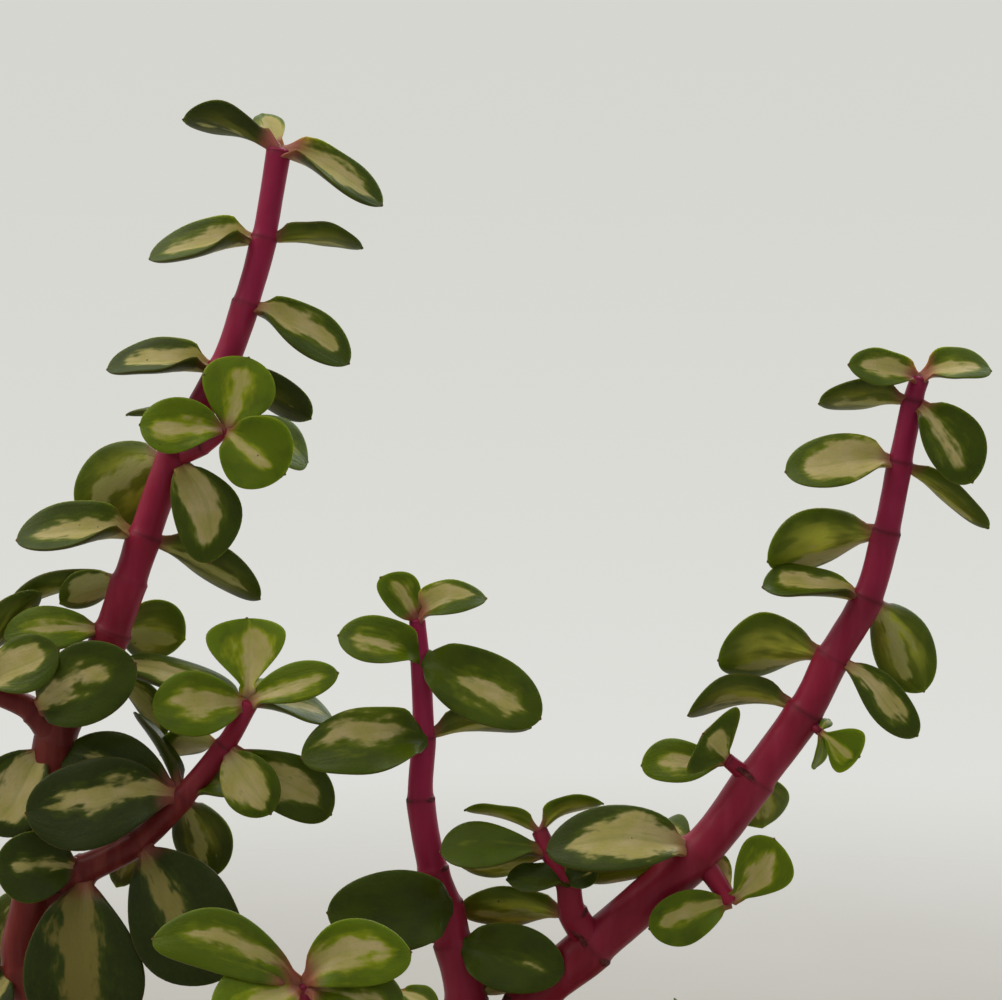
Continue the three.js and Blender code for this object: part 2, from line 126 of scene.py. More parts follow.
def piece(name, points, faces, look, stands_for=(), values=None):
    """A smooth-shaded mesh piece. Points are in millimetres, and values are its own numbers at
    its points, by name."""
    mesh = bpy.data.meshes.new(name)
    mesh.from_pydata((np.asarray(points) * MM).tolist(), [], [list(f) for f in faces])
    mesh.shade_smooth()
    for key, numbers in (values or {}).items():
        layer = mesh.attributes.new(key, "FLOAT", "POINT")
        layer.data.foreach_set("value", np.asarray(numbers, dtype=np.float32))
    mesh.materials.append(look)
    made = bpy.data.objects.new(name, mesh)
    bpy.context.collection.objects.link(made)
    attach(made, "root")
    if stands_for:
        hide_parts(*stands_for)


def rounded(corners, radii, steps=6):
    """A closed outline with its corners rounded.

    Each corner becomes the quadratic curve (1-s)^2 A + 2 s (1-s) P + s^2 B through points A and
    B at the corner's radius from it along both sides."""
    corners = np.asarray(corners, float)
    before = np.roll(corners, 1, axis=0) - corners
    after = np.roll(corners, -1, axis=0) - corners
    reach = np.asarray(radii, float)[:, None]
    start = corners + before / np.linalg.norm(before, axis=1, keepdims=True) * reach
    end = corners + after / np.linalg.norm(after, axis=1, keepdims=True) * reach
    s = np.linspace(0, 1, steps)[None, :, None]
    curve = (1 - s) ** 2 * start[:, None] + s ** 2 * end[:, None]
    curve = curve + 2 * s * (1 - s) * corners[:, None]
    return curve.reshape(-1, 2)


def turned(section, sides):
    """Points of a section (radius, height) turned about the upright axis."""
    turn = np.linspace(0, 2 * np.pi, sides, endpoint=False)[None, :]
    radius = section[:, 0:1]
    height = np.broadcast_to(section[:, 1:2], (len(section), sides))
    return np.stack([radius * np.cos(turn), radius * np.sin(turn), height], -1).reshape(-1, 3)


def wall_at(z):
    """Outer radius of the pot's wall at a height, without the band."""
    return FOOT_RADIUS + (RIM_RADIUS - BAND_STEP - FOOT_RADIUS) * z / POT_HEIGHT


band_foot = POT_HEIGHT - RIM_BAND
inside_rim = RIM_RADIUS - BAND_STEP - WALL
pot_corners = [
    (DRAIN_RADIUS, 0), (FOOT_RADIUS, 0), (wall_at(band_foot), band_foot),
    (wall_at(band_foot) + BAND_STEP, band_foot + 1), (RIM_RADIUS, POT_HEIGHT),
    (inside_rim, POT_HEIGHT), (wall_at(FLOOR) - WALL, FLOOR), (DRAIN_RADIUS, FLOOR),
]
pot_section = rounded(pot_corners, [0.8, 1.6, 1.2, 1.6, 2.2, 2.0, 3.0, 0.8])

# Fired clay without a glaze: matt and clouded in tone, with turning marks about 1.7 mm apart and
# a pale bloom of salts near the foot and the mouth. The clay's own grit is finer than its 1.1 mm
# grain here. A pattern's scale is 1000 over the width of its grain in millimetres.
terracotta, tree, surface = material("unglazed_terracotta", Roughness=0.86)
place = shader(tree, "TexCoord", output="Object")
cloud = shader(tree, "TexNoise", place, 1000 / 38.5, 4, 0.5)
grain = shader(tree, "TexNoise", place, 1000 / 1.111, 3, 0.7)
clay = shader(tree, "Mix", shader(tree, "MapRange", cloud, 0.3, 0.7), "#a9572f", "#c4784d")
clay = shader(tree, "Mix", shader(tree, "MapRange", grain, 0.45, 0.8, 0, 0.35), clay, "#7d3f24")
upright = shader(tree, "SeparateXYZ", place, output="Z")
foot_salts = shader(tree, "MapRange", upright, 0.034, 0.004, 0, 0.6)
mouth_salts = shader(tree, "MapRange", upright, 0.088, 0.099, 0, 0.55)
salts = shader(tree, "MAXIMUM", foot_salts, mouth_salts)
bloom = shader(tree, "MapRange", shader(tree, "TexNoise", place, 1000 / 16.67, 5, 0.65), 0.47, 0.72)
salts = shader(tree, "MULTIPLY", bloom, salts)
clay = shader(tree, "Mix", salts, clay, "#dcc7b4")
rings = shader(tree, "TexWave", place, named={"Scale": 190, "Distortion": 2.5, "Detail": 2},
               output="Fac", bands_direction="Z", wave_type="BANDS")
marks = shader(tree, "MULTIPLY_ADD", rings, 0.35, grain)
coat(tree, surface, clay, marks, 0.3, 0.5)
pot_faces = grid_faces(len(pot_section), POT_SIDES, loop=True)
piece("pot_turned", turned(pot_section, POT_SIDES), pot_faces, terracotta, ["pot"])

# ------------------------------------------------------------------------------------ soil
# Dark potting soil that fills the pot to below its rim. Its bed is one closed lump with an
# uneven top, strewn with crumbs of bark and peat and a few grains of white perlite.

SOIL_EDGE = 92.0
SOIL_MOUND = 94.0
SOIL_GAP = 0.4
SOIL_RINGS = 70
SOIL_SIDES = 180


def lattice_noise(x, y, size, seed):
    """Smooth noise from 0 to 1: a value for each corner of a square lattice of the given size,
    the fractional part of 43758.5453 sin(127.1 i + 311.7 j + 74.7 seed), blended between corners
    with 3 f^2 - 2 f^3."""
    i, j = np.floor(x / size), np.floor(y / size)
    f, g = x / size - i, y / size - j
    f, g = f * f * (3 - 2 * f), g * g * (3 - 2 * g)

    def corner(a, b):
        wide = 43758.5453 * np.sin(127.1 * (i + a) + 311.7 * (j + b) + 74.7 * seed)
        return wide - np.floor(wide)

    low = corner(0, 0) * (1 - f) + corner(1, 0) * f
    high = corner(0, 1) * (1 - f) + corner(1, 1) * f
    return low * (1 - g) + high * g


def capped_faces(rows, around):
    """The quads of rows of points, with one face that closes each end."""
    faces = grid_faces(rows, around).tolist()
    faces.append(list(range(around - 1, -1, -1)))
    faces.append(list(range(rows * around - around, rows * around)))
    return faces


def soil_height(x, y):
    """Height of the soil's top: a low mound round the trunk and lumps of three sizes."""
    mound = (SOIL_MOUND - SOIL_EDGE) * np.exp(-(x ** 2 + y ** 2) / 500)
    lumps = 1.6 * lattice_noise(x, y, 14, 1) + 0.9 * lattice_noise(x, y, 5, 2)
    return SOIL_EDGE + mound + lumps + 0.5 * lattice_noise(x, y, 1.8, 3) - 1.5


soil_rim = wall_at(SOIL_EDGE) - WALL - SOIL_GAP
soil_foot = wall_at(FLOOR) - WALL - SOIL_GAP
innermost = 0.4
top_radii = np.linspace(soil_rim, innermost, SOIL_RINGS)
soil_section = np.concatenate([
    [(innermost, FLOOR + 0.3), (soil_foot - 2.6, FLOOR + 0.3), (soil_foot, FLOOR + 2.9)],
    np.stack([top_radii, np.full(SOIL_RINGS, SOIL_EDGE)], -1),
])
soil_points = turned(soil_section, SOIL_SIDES)
top_side = soil_points[:, 2] > SOIL_EDGE - 1
soil_points[top_side, 2] = soil_height(soil_points[top_side, 0], soil_points[top_side, 1])
soil_faces = capped_faces(len(soil_section), SOIL_SIDES)

# Peat-based potting soil, damp: matt and nearly black, with paler fibres. The finest crumb that
# shows is 0.7 mm.
earth, tree, surface = material("potting_soil", Roughness=0.97)
place = shader(tree, "TexCoord", output="Object")
damp = shader(tree, "MapRange", shader(tree, "TexNoise", place, 1000 / 22.2, 3, 0.5), 0.35, 0.65)
earth_colour = shader(tree, "Mix", damp, "#2b1f16", "#4a3625")
fibres = shader(tree, "MapRange", shader(tree, "TexNoise", place, 1000 / 1.429, 4, 0.7), 0.5, 0.75)
earth_colour = shader(tree, "Mix", fibres, earth_colour, "#6b5138")
crumble = shader(tree, "TexNoise", place, 1000 / 0.667, 5, 0.7)
coat(tree, surface, earth_colour, crumble, 0.6)
piece("soil_bed", soil_points, soil_faces, earth, ["soil"])


def ball(subdivisions):
    """Points and triangles of a unit ball made of near-equal triangles."""
    mesh = bpy.data.meshes.new("ball")
    shape = bmesh.new()
    bmesh.ops.create_icosphere(shape, subdivisions=subdivisions, radius=1.0)
    shape.to_mesh(mesh)
    shape.free()
    points = np.array([v.co[:] for v in mesh.vertices])
    faces = np.array([p.vertices[:] for p in mesh.polygons])
    bpy.data.meshes.remove(mesh)
    return points, faces


def strewn(count, smallest, largest, flatness, seed):
    """Lumps strewn over the soil: a ball for each, stretched, roughened, turned and half sunk.
    The sizes are the half-lengths of the smallest and the largest, and most lumps are small."""
    rng = np.random.default_rng(seed)
    points, faces = ball(2)
    radius = (soil_rim - 2.2) * np.sqrt(rng.uniform(0.02, 1, count))
    turn = rng.uniform(0, 2 * np.pi, count)
    x, y = radius * np.cos(turn), radius * np.sin(turn)
    size = smallest + (largest - smallest) * rng.uniform(0, 1, count) ** 3
    width, thickness = rng.uniform(0.5, 1, count), flatness * rng.uniform(0.6, 1.2, count)
    stretch = size[:, None] * np.stack([np.ones(count), width, thickness], -1)
    rough = 1 + rng.uniform(-0.2, 0.2, (count, len(points)))[..., None]
    lumps = points[None] * rough * stretch[:, None, :]
    lean = rng.normal(0, 0.35, count)[:, None]
    spin = rng.uniform(0, 2 * np.pi, count)[:, None]
    a, b, c = lumps[..., 0], lumps[..., 1], lumps[..., 2]
    a, c = a * np.cos(lean) - c * np.sin(lean), a * np.sin(lean) + c * np.cos(lean)
    a, b = a * np.cos(spin) - b * np.sin(spin), a * np.sin(spin) + b * np.cos(spin)
    height = soil_height(x, y) + 0.25 * size
    placed = np.stack([a + x[:, None], b + y[:, None], c + height[:, None]], -1)
    all_faces = faces[None] + len(points) * np.arange(count)[:, None, None]
    return placed.reshape(-1, 3), all_faces.reshape(-1, 3)


# Bark chips and lumps of peat: matt browns, each lump of one tone.
bark_chip, tree, surface = material("bark_and_peat", Roughness=0.95)
place = shader(tree, "TexCoord", output="Object")
chip_tone = shader(tree, "TexNoise", place, 1000 / 3.85, 1, 0.5)
chip_tone = shader(tree, "MapRange", chip_tone, 0.35, 0.65)
chip_colour = shader(tree, "Mix", chip_tone, "#2a1c12", "#5d4229")
splinters = shader(tree, "TexNoise", place, 1000 / 0.4545, 4, 0.7)
coat(tree, surface, chip_colour, splinters, 0.4)
crumb_points, crumb_faces = strewn(900, 0.7, 3.0, flatness=0.6, seed=11)
piece("soil_crumbs", crumb_points, crumb_faces, bark_chip)

# Puffed volcanic glass: matt white grains, full of pores that show as greyer dots.
perlite, tree, surface = material("perlite", Roughness=0.9)
place = shader(tree, "TexCoord", output="Object")
pores = shader(tree, "MapRange", shader(tree, "TexNoise", place, 1000 / 0.5556, 3, 0.6), 0.4, 0.7)
perlite_colour = shader(tree, "Mix", pores, "#e9e5dc", "#b9b1a3")
coat(tree, surface, perlite_colour, pores, 0.3)
grain_points, grain_faces = strewn(130, 0.6, 1.9, flatness=0.85, seed=12)
piece("perlite_grains", grain_points, grain_faces, perlite)

# ----------------------------------------------------------------------------------- trunk
# The old woody base. Its skin has turned from crimson to brown and cracks lengthwise, and rings
# of leaf scars show where it once carried leaves.

TRUNK_FOOT = 70.0
TRUNK_RADII = (7.6, 5.6)
TRUNK_RIDGES = 0.035
NODE_SWELL = 0.13
SHOULDER = 0.5
RING_WIDTH = 0.4
CAP_ROWS = 5
DENTS = 0.045


def centre_line(places, spacing):
    """Points, directions and the place along (0 at the first given place, 1 at the next, and so
    on) of the smooth curve through the given places, at about the given spacing.

    Between P1 and P2 it is half of 2 P1 + (P2 - P0) t + (2 P0 - 5 P1 + 4 P2 - P3) t^2
    + (3 P1 - P0 - 3 P2 + P3) t^3; past each end one place is mirrored on."""
    places = np.asarray(places, float)
    ends = 2 * places[[0, -1]] - places[[1, -2]]
    p = np.concatenate([ends[:1], places, ends[1:]])
    points, directions, along = [], [], []
    for k in range(len(places) - 1):
        p0, p1, p2, p3 = p[k:k + 4]
        steps = max(2, math.ceil(np.linalg.norm(p2 - p1) / spacing))
        t = np.linspace(0, 1, steps, endpoint=k == len(places) - 2)[:, None]
        b, c, d = p2 - p0, 2 * p0 - 5 * p1 + 4 * p2 - p3, 3 * p1 - p0 - 3 * p2 + p3
        points.append(0.5 * (2 * p1 + b * t + c * t ** 2 + d * t ** 3))
        directions.append(0.5 * (b + 2 * c * t + 3 * d * t ** 2))
        along.append(k + t[:, 0])
    directions = np.concatenate(directions)
    directions /= np.linalg.norm(directions, axis=1, keepdims=True)
    return np.concatenate(points), directions, np.concatenate(along)


def crossways(directions):
    """Two unit vectors square to each direction: the first stays close to whichever of the X, Y
    and Z axes the line runs least along."""
    least = np.argmin(np.abs(directions.mean(axis=0)))
    one = np.eye(3)[least] - directions * directions[:, least:least + 1]
    one /= np.linalg.norm(one, axis=1, keepdims=True)
    return one, np.cross(directions, one)


def stem_skin(places, first_radius, last_radius, spacing, around, flare=0.25):
    """Points, faces and values of a stem through its nodes.

    Its radius tapers evenly from the first node to the last. Each internode widens upwards by
    13 % as its share u squared, the next one starts narrow again past a shoulder exp(-s / 0.5),
    the foot flares as 1 + flare exp(-s / 2r), and smooth noise dents it by 2 %. The far end is
    a low dome. A point's values are its age (from the radius) and how near a node's ring is."""
    middle, direction, along = centre_line(places, spacing)
    one, two = crossways(direction)
    last = len(places) - 1
    step = np.linalg.norm(np.diff(middle, axis=0), axis=1)
    distance = np.concatenate([[0], np.cumsum(step)])
    node_distance = np.interp(np.arange(1, last + 1), along, distance)
    past = distance[:, None] - node_distance[None, :]
    near = np.abs(past).min(axis=1)
    above = np.where(past >= 0, past, 99).min(axis=1)
    taper = first_radius + (last_radius - first_radius) * along / last
    widening = np.maximum((along % 1) ** 2, np.exp(-above / SHOULDER))
    swell = 1 + NODE_SWELL * (widening - 0.5)
    foot = 1 + flare * np.exp(-distance / (2 * first_radius))
    radius = taper * swell * foot
    cap = np.linspace(0, 1, CAP_ROWS + 1)[1:]
    rise = 0.45 * last_radius * cap
    middle = np.concatenate([middle, middle[-1] + direction[-1] * rise[:, None]])
    radius = np.concatenate([radius, radius[-1] * np.sqrt(1 - (0.98 * cap) ** 2)])
    one = np.concatenate([one, np.repeat(one[-1:], CAP_ROWS, axis=0)])
    two = np.concatenate([two, np.repeat(two[-1:], CAP_ROWS, axis=0)])
    near = np.concatenate([near, np.full(CAP_ROWS, 0.3)])
    distance = np.concatenate([distance, distance[-1] + rise])
    turn = np.linspace(0, 2 * np.pi, around, endpoint=False)[None, :, None]
    out = one[:, None] * np.cos(turn) + two[:, None] * np.sin(turn)
    dents = lattice_noise(turn[..., 0] * around / 10.5, distance[:, None], 2.1, first_radius)
    fade = np.sin(turn[..., 0] / 2) ** 2
    dented = radius[:, None] * (1 + DENTS * (dents - 0.5) * fade)
    points = middle[:, None] + out * dented[..., None]
    age = np.clip((radius - 1.0) / 3.5, 0, 1)
    ring = np.exp(-(near / RING_WIDTH) ** 2)
    values = {"age": np.repeat(age, around), "ring": np.repeat(ring, around)}
    return points.reshape(-1, 3), capped_faces(len(middle), around), values


trunk_places = np.array([(0, 0, TRUNK_FOOT), (0, 0, 84), (-0.5, 0, 97), (0, 0, 108),
                         (1.2, 0, 119), (2.5, 0, 130)])
trunk_points, trunk_faces, trunk_values = stem_skin(trunk_places, *TRUNK_RADII, spacing=0.6,
                                                    around=48, flare=0)
x, y, z = trunk_points.T
ridges = 1 + TRUNK_RIDGES * (lattice_noise(x * 3 + y, z, 6, 5) - 0.5)
middle_line = np.stack([np.interp(z, trunk_places[:, 2], trunk_places[:, 0]), 0 * y], -1)
trunk_points[:, :2] = middle_line + (trunk_points[:, :2] - middle_line) * ridges[:, None]

# Cork below and old red skin above, both dull: lengthwise streaks and cracks about 2.4 mm apart,
# and dark rings at the scars.
bark, tree, surface = material("cork_and_old_skin", Roughness=0.8)
place = shader(tree, "TexCoord", output="Object")
upright = shader(tree, "SeparateXYZ", place, output="Z")
stretched = shader(tree, "Mapping", place, named={"Scale": (1, 1, 0.22)})
streaks = shader(tree, "TexNoise", stretched, 1000 / 2.381, 5, 0.65)
cracked = shader(tree, "MapRange", streaks, 0.35, 0.65)
bark_colour = shader(tree, "Mix", cracked, "#3c2119", "#7a5443")
young = shader(tree, "Mix", shader(tree, "MapRange", streaks, 0.3, 0.7), "#5f261d", "#824033")
turning = shader(tree, "TexNoise", place, 1000 / 14.29, 3, 0.5)
turning = shader(tree, "MULTIPLY_ADD", turning, 0.03, upright)
turning = shader(tree, "MapRange", turning, 0.100, 0.145)
bark_colour = shader(tree, "Mix", turning, bark_colour, young)
ring = shader(tree, "Attribute", attribute_name="ring", output="Fac")
ring_wear = shader(tree, "MULTIPLY", ring, 0.7)
bark_colour = shader(tree, "Mix", ring_wear, bark_colour, "#2f1b14")
cracks = shader(tree, "MapRange", streaks, 0.3, 0.6)
cracks = shader(tree, "MULTIPLY_ADD", ring, -0.5, cracks)
coat(tree, surface, bark_colour, cracks, 0.8)
piece("trunk_bark", trunk_points, trunk_faces, bark, ["trunk"],
      {"ring": trunk_values["ring"]})

# ------------------------------------------------------------------------------- left stem
# The tallest stem, fleshy and magenta, with one leaf or a pair at each swollen node and a
# brown scar where a leaf has dropped. It carries a rosette branch, a branch that points
# outwards and a small shoot. Every leaf is a closed fleshy blade, cream along its middle.


def node(x, y, z, *leaves):
    """A place on a stem, and the leaves that grow there."""
    return (x, y, z), leaves


def branch(first_radius, last_radius, *nodes):
    """A stem or shoot: its radii at its first and last nodes, and its nodes."""
    return first_radius, last_radius, nodes


PLAIN_LEAF = dict(twist=0, arch=0.1, cup=0.28, sway=0, peak=0.6, base=0.85, aside=0, ahead=0)


def leaf(dx, dy, dz, width, face, cream, tone, **details):
    """The tip's place from the stem's centre, the blade's width, and how far its upper face is
    turned from straight up (0) towards -Y (90). Cream is the half-width of the pale middle as a
    share of the blade's, and tone runs from dark green (0) to lime (1); a tone below 0.08 also
    dulls the cream towards olive, fully at -0.25, as painted shade. A blade whose round foot laps
    over the stem starts aside (+X) and ahead (-Y) of the stem's centre."""
    shape = {**PLAIN_LEAF, **details}
    tilt, turn = math.radians(face), math.radians(shape["twist"])
    up = (math.sin(tilt) * math.sin(turn), -math.sin(tilt) * math.cos(turn), math.cos(tilt))
    return dict(shape, reach=np.array([dx, dy, dz]), width=width, up=up, cream=cream, tone=tone)


STALK_SHARE = 0.28
WIDEST_STALK = 3.3
TOP_STALK_SHARE = 0.5
BASE_FOLD = 3.0
LEAF_THICKNESS = 0.11
THINNEST_LEAF = 0.9
LEAF_STATIONS = 32
LEAF_SIDES = 28
NIB_LENGTH = 0.2
NIB_HALF_WIDTH = 0.32
SHOOT_AGE = 0.55
FAR = 9.0


def blade_share(t, peak, base):
    """Width at t (0 at the stem, 1 at the tip) as a share of the widest. Past the peak it is
    (1 - v^2)^0.52 with v = (t - peak) / (1 - peak), before it sin(pi t / 2 peak)^base."""
    v = np.clip((t - peak) / (1 - peak), 0, 1)
    return (1 - v ** 2) ** 0.52 * np.sin(np.pi / 2 * np.minimum(t / peak, 1)) ** base


def leaf_skin(place, blade, hidden, stalk_width, tender, seed):
    """Points, faces and values of one fleshy leaf.

    Its spine runs from the root to the tip and bows by 4 t (1 - t); the length `hidden` lies in
    the stem, and past the tip comes a small nib. At station t the section is x = half q and
    y = fold |q|^1.5 + flesh sqrt(1 - |q|^2.5), with q = cos of the turn round the section; the
    underside is fuller than the upper face. Small bends are drawn by the seed."""
    rng = np.random.default_rng(seed)
    root = np.asarray(place, float) + (blade["aside"], -blade["ahead"], 0)
    reach = np.asarray(blade["reach"], float)
    length = np.linalg.norm(reach)
    along = reach / length
    up = np.asarray(blade["up"], float)
    up = up - along * (up @ along)
    up /= np.linalg.norm(up)
    sideways = np.cross(along, up)
    t = (1 - np.cos(np.pi * np.linspace(0.0, 0.99, LEAF_STATIONS - 2))) / 2
    t = np.append(t, [1.0, 1 + NIB_LENGTH / length])[:, None]
    bare = np.clip((t - hidden / length) / (1 - hidden / length), 0, 1)
    nib = np.where(t > 0.99, np.clip(NIB_HALF_WIDTH - (t - 1) * length, 0, NIB_HALF_WIDTH), 0)
    theta = np.linspace(0, 2 * np.pi, LEAF_SIDES, endpoint=False)[None, :] + np.pi / LEAF_SIDES
    q, face = np.cos(theta), np.sin(theta)
    stalk = stalk_width / 2 * np.clip(3 * (0.5 - t), 0, 1)
    half = blade_share(bare, blade["peak"], blade["base"]) * blade["width"] / 2
    half = np.maximum(np.maximum(half, stalk), nib)
    wave = 0.05 * np.sin(2 * np.pi * (rng.uniform(0.9, 2.0) * t + rng.uniform()) + 1.5 * q)
    bend = 0.012 * rng.normal() * np.sin(2 * np.pi * t)
    thick = max(LEAF_THICKNESS * length, THINNEST_LEAF) / 2 * (1 - 0.5 * t ** 3)
    thick = thick * np.minimum(1, 0.55 + 2.5 * t)
    thick = np.maximum(thick, 0.28 * stalk_width * (1 - 3 * bare))
    thick = thick * np.sqrt(np.clip(1 - (np.maximum(t - 0.82, 0) / 0.182) ** 2, 0, 1))
    thick = np.maximum(thick, 0.8 * nib)
    gutter = blade["cup"] * half * (1 - 0.6 * t + BASE_FOLD * np.exp(-(t / 0.28) ** 2))
    gutter = gutter * np.clip(bare / 0.15, 0, 1) ** 1.3
    fold = gutter * np.abs(q) ** 1.5
    flesh = np.where(face > 0, 0.78, 1.22) * thick * np.sign(face) * np.sqrt(1 - np.abs(q) ** 2.5)
    groove = 0.16 * thick * np.sin(np.pi * np.minimum(t, 1)) ** 0.7
    groove = groove * np.exp(-(q / 0.16) ** 2) * (face > 0)
    bow = 4 * length * t * (1 - t)
    lift = blade["arch"] * bow + fold + flesh - groove + half * wave * np.abs(q) ** 2
    across = blade["sway"] * bow + half * q + length * bend
    full = np.ones_like(q) * np.ones_like(t)
    points = (root + along * (length * full * t)[..., None]
              + up * lift[..., None] + sideways * across[..., None])
    lapping = blade["ahead"] > 0
    cream = blade["cream"] - 0.8 * lapping * np.exp(-(t / 0.25) ** 2)
    shift = blade.get("shift", rng.uniform(-0.18, 0.18))
    values = {
        "t": np.maximum(bare, 0.25 * lapping), "q": q, "top": face, "along_mm": length * t,
        "across_mm": half * q, "seed": rng.uniform(0, 60), "shift": shift, "cream": cream,
        "tone": blade["tone"], "tender": tender,
    }
    values = {key: (full * numbers).ravel() for key, numbers in values.items()}
    return points.reshape(-1, 3), capped_faces(LEAF_STATIONS, LEAF_SIDES), values


def joined(skins):
    """One set of points, faces and values made of several."""
    points, faces, values = zip(*skins)
    starts = np.cumsum([0] + [len(p) for p in points]).tolist()
    faces = [[corner + start for corner in face]
             for some, start in zip(faces, starts) for face in some]
    values = {key: np.concatenate([v[key] for v in values]) for key in values[0]}
    return np.concatenate(points), faces, values


def scarred(points, scars):
    """Distance from each point to the nearest leaf scar in half-widths w of a scar, up to FAR. A
    scar is its place, the stem's direction and its radius there. It is a crescent four times as
    wide as it is high: at p across and h along the stem from its middle, the distance is
    hypot(p, 4 (h + 0.12 p^2 / w)) / w."""
    if not len(scars):
        return np.full(len(points), FAR)
    scars = np.asarray(scars)
    away = points[:, None] - scars[None, :, :3]
    along = (away * scars[None, :, 3:6]).sum(axis=-1)
    across = np.sqrt(np.maximum((away ** 2).sum(axis=-1) - along ** 2, 0))
    wide = 0.55 * scars[:, 6] + 0.3
    reach = np.hypot(across, 4 * (along + 0.12 * across ** 2 / wide)) / wide
    return np.minimum(reach.min(axis=1), FAR)


# Young skin, magenta and smooth with a soft sheen, and a little light passes into it. Older skin
# is duller and crimson, the oldest brown and corky, with dark rings and scabs at the nodes. Low
# down and towards -X the skin turns a browner red, partly weathering and partly painted shade.
epidermis, tree, surface = material("magenta_epidermis", Roughness=0.4, Specular_IOR_Level=0.2,
                                    Subsurface_Weight=0.15, Subsurface_Scale=0.001,
                                    Subsurface_Radius=(1.0, 0.15, 0.3))
place = shader(tree, "TexCoord", output="Object")
age, ring, scar = (shader(tree, "Attribute", attribute_name=name, output="Fac")
                   for name in ("age", "ring", "scar"))
parts = shader(tree, "SeparateXYZ", place).node
low_left = shader(tree, "MULTIPLY_ADD", parts.outputs["X"], 1.2, parts.outputs["Z"])
stretched = shader(tree, "Mapping", place, named={"Scale": (1, 1, 0.15)})
streaks = shader(tree, "TexNoise", stretched, 1000 / 2.381, 3, 0.5)
clouds = shader(tree, "TexNoise", place, 1000 / 14.29, 2, 0.5)
flecks = shader(tree, "TexNoise", place, 1000 / 1.111, 3, 0.6)
stem_colour = shader(tree, "Mix", shader(tree, "MapRange", age, 0.05, 0.6), "#b4275c", "#98213d")
stem_colour = shader(tree, "Mix", shader(tree, "MapRange", age, 0.6, 1.0), stem_colour, "#7c1b26")
brighter = shader(tree, "Mix", 0.2, stem_colour, "#c24a6c")
streaked = shader(tree, "MapRange", streaks, 0.4, 0.75)
stem_colour = shader(tree, "Mix", streaked, stem_colour, brighter)
duller = shader(tree, "Mix", 0.35, stem_colour, "#4a1518")
clouded = shader(tree, "MapRange", clouds, 0.45, 0.75)
stem_colour = shader(tree, "Mix", clouded, stem_colour, duller)
# Low on the stems and towards -X a browner red: partly weathered skin, partly painted shade
weathered_and_shaded = shader(tree, "Mix", shader(tree, "MapRange", streaks, 0.35, 0.7), "#62231a", "#7e3c2c")
low_left = shader(tree, "MULTIPLY_ADD", clouds, 0.02, low_left)
weathering_and_shade = shader(tree, "MapRange", low_left, 0.160, 0.130, 0, 0.8)
stem_colour = shader(tree, "Mix", weathering_and_shade, stem_colour, weathered_and_shaded)
corky = shader(tree, "Mix", shader(tree, "MapRange", streaks, 0.35, 0.65), "#46251b", "#7a5040")
lowness = shader(tree, "MULTIPLY_ADD", clouds, 0.02, parts.outputs["Z"])
corking = shader(tree, "MapRange", lowness, 0.150, 0.118)
oldest = shader(tree, "MapRange", age, 0.45, 0.9)
corking = shader(tree, "MULTIPLY", corking, oldest)
stem_colour = shader(tree, "Mix", corking, stem_colour, corky)
ring_wear = shader(tree, "MapRange", clouds, 0.38, 0.66, 0.04, 0.6)
ring_wear = shader(tree, "MULTIPLY", ring, ring_wear)
stem_colour = shader(tree, "Mix", ring_wear, stem_colour, "#45141a")
scar_reach = shader(tree, "SUBTRACT", scar, 0.45)
scar_reach = shader(tree, "MULTIPLY_ADD", flecks, 0.9, scar_reach)
scar_area = shader(tree, "MapRange", scar_reach, 1.15, 0.8, 0, 0.85)
scab = shader(tree, "Mix", shader(tree, "MapRange", flecks, 0.4, 0.7), "#41181a", "#74403a")
stem_colour = shader(tree, "Mix", scar_area, stem_colour, scab)
rougher = shader(tree, "MAXIMUM", ring_wear, scar_area)
rougher = shader(tree, "MULTIPLY_ADD", rougher, 0.35, 0.38)
tree.links.new(rougher, surface.inputs["Roughness"])
stem_relief = shader(tree, "MULTIPLY", ring_wear, -0.5)
stem_relief = shader(tree, "MULTIPLY_ADD", streaks, 0.25, stem_relief)
scabs = shader(tree, "MULTIPLY", scar_area, flecks)
stem_relief = shader(tree, "MULTIPLY_ADD", scabs, 1.4, stem_relief)
coat(tree, surface, stem_colour, stem_relief, 0.3)

# A fleshy leaf's skin: satin, with light that passes a little way into it. It is dark green or
# lime, with a feathered cream middle, green veins in the cream, and a pink blush at the foot.
# The underside's middle turns lime, partly its own paler green and partly a painted glow of
# light shining through, and a tone below 0.08 dulls the cream to olive as painted shade.
flesh, tree, surface = material("variegated_leaf", Roughness=0.42, Specular_IOR_Level=0.2,
                                Subsurface_Weight=0.4, Subsurface_Scale=0.0018,
                                Subsurface_Radius=(0.9, 1.0, 0.12))
t, q, top, along_mm, across_mm, seed, shift, cream, tone, tender = (
    shader(tree, "Attribute", attribute_name=name, output="Fac")
    for name in ("t", "q", "top", "along_mm", "across_mm", "seed", "shift", "cream", "tone",
                 "tender"))
seed = shader(tree, "MULTIPLY", seed, 1.7)


def leaf_noise(across, width, length, detail, roughness=0.5):
    """Noise in the blade's own plane that differs from leaf to leaf. Its grains are `width` wide,
    in the unit of the socket across, and `length` millimetres long."""
    across = shader(tree, "DIVIDE", across, width)
    along = shader(tree, "DIVIDE", along_mm, length)
    in_grains = shader(tree, "CombineXYZ", across, along, seed)
    return shader(tree, "TexNoise", in_grains, 1.0, detail, roughness)


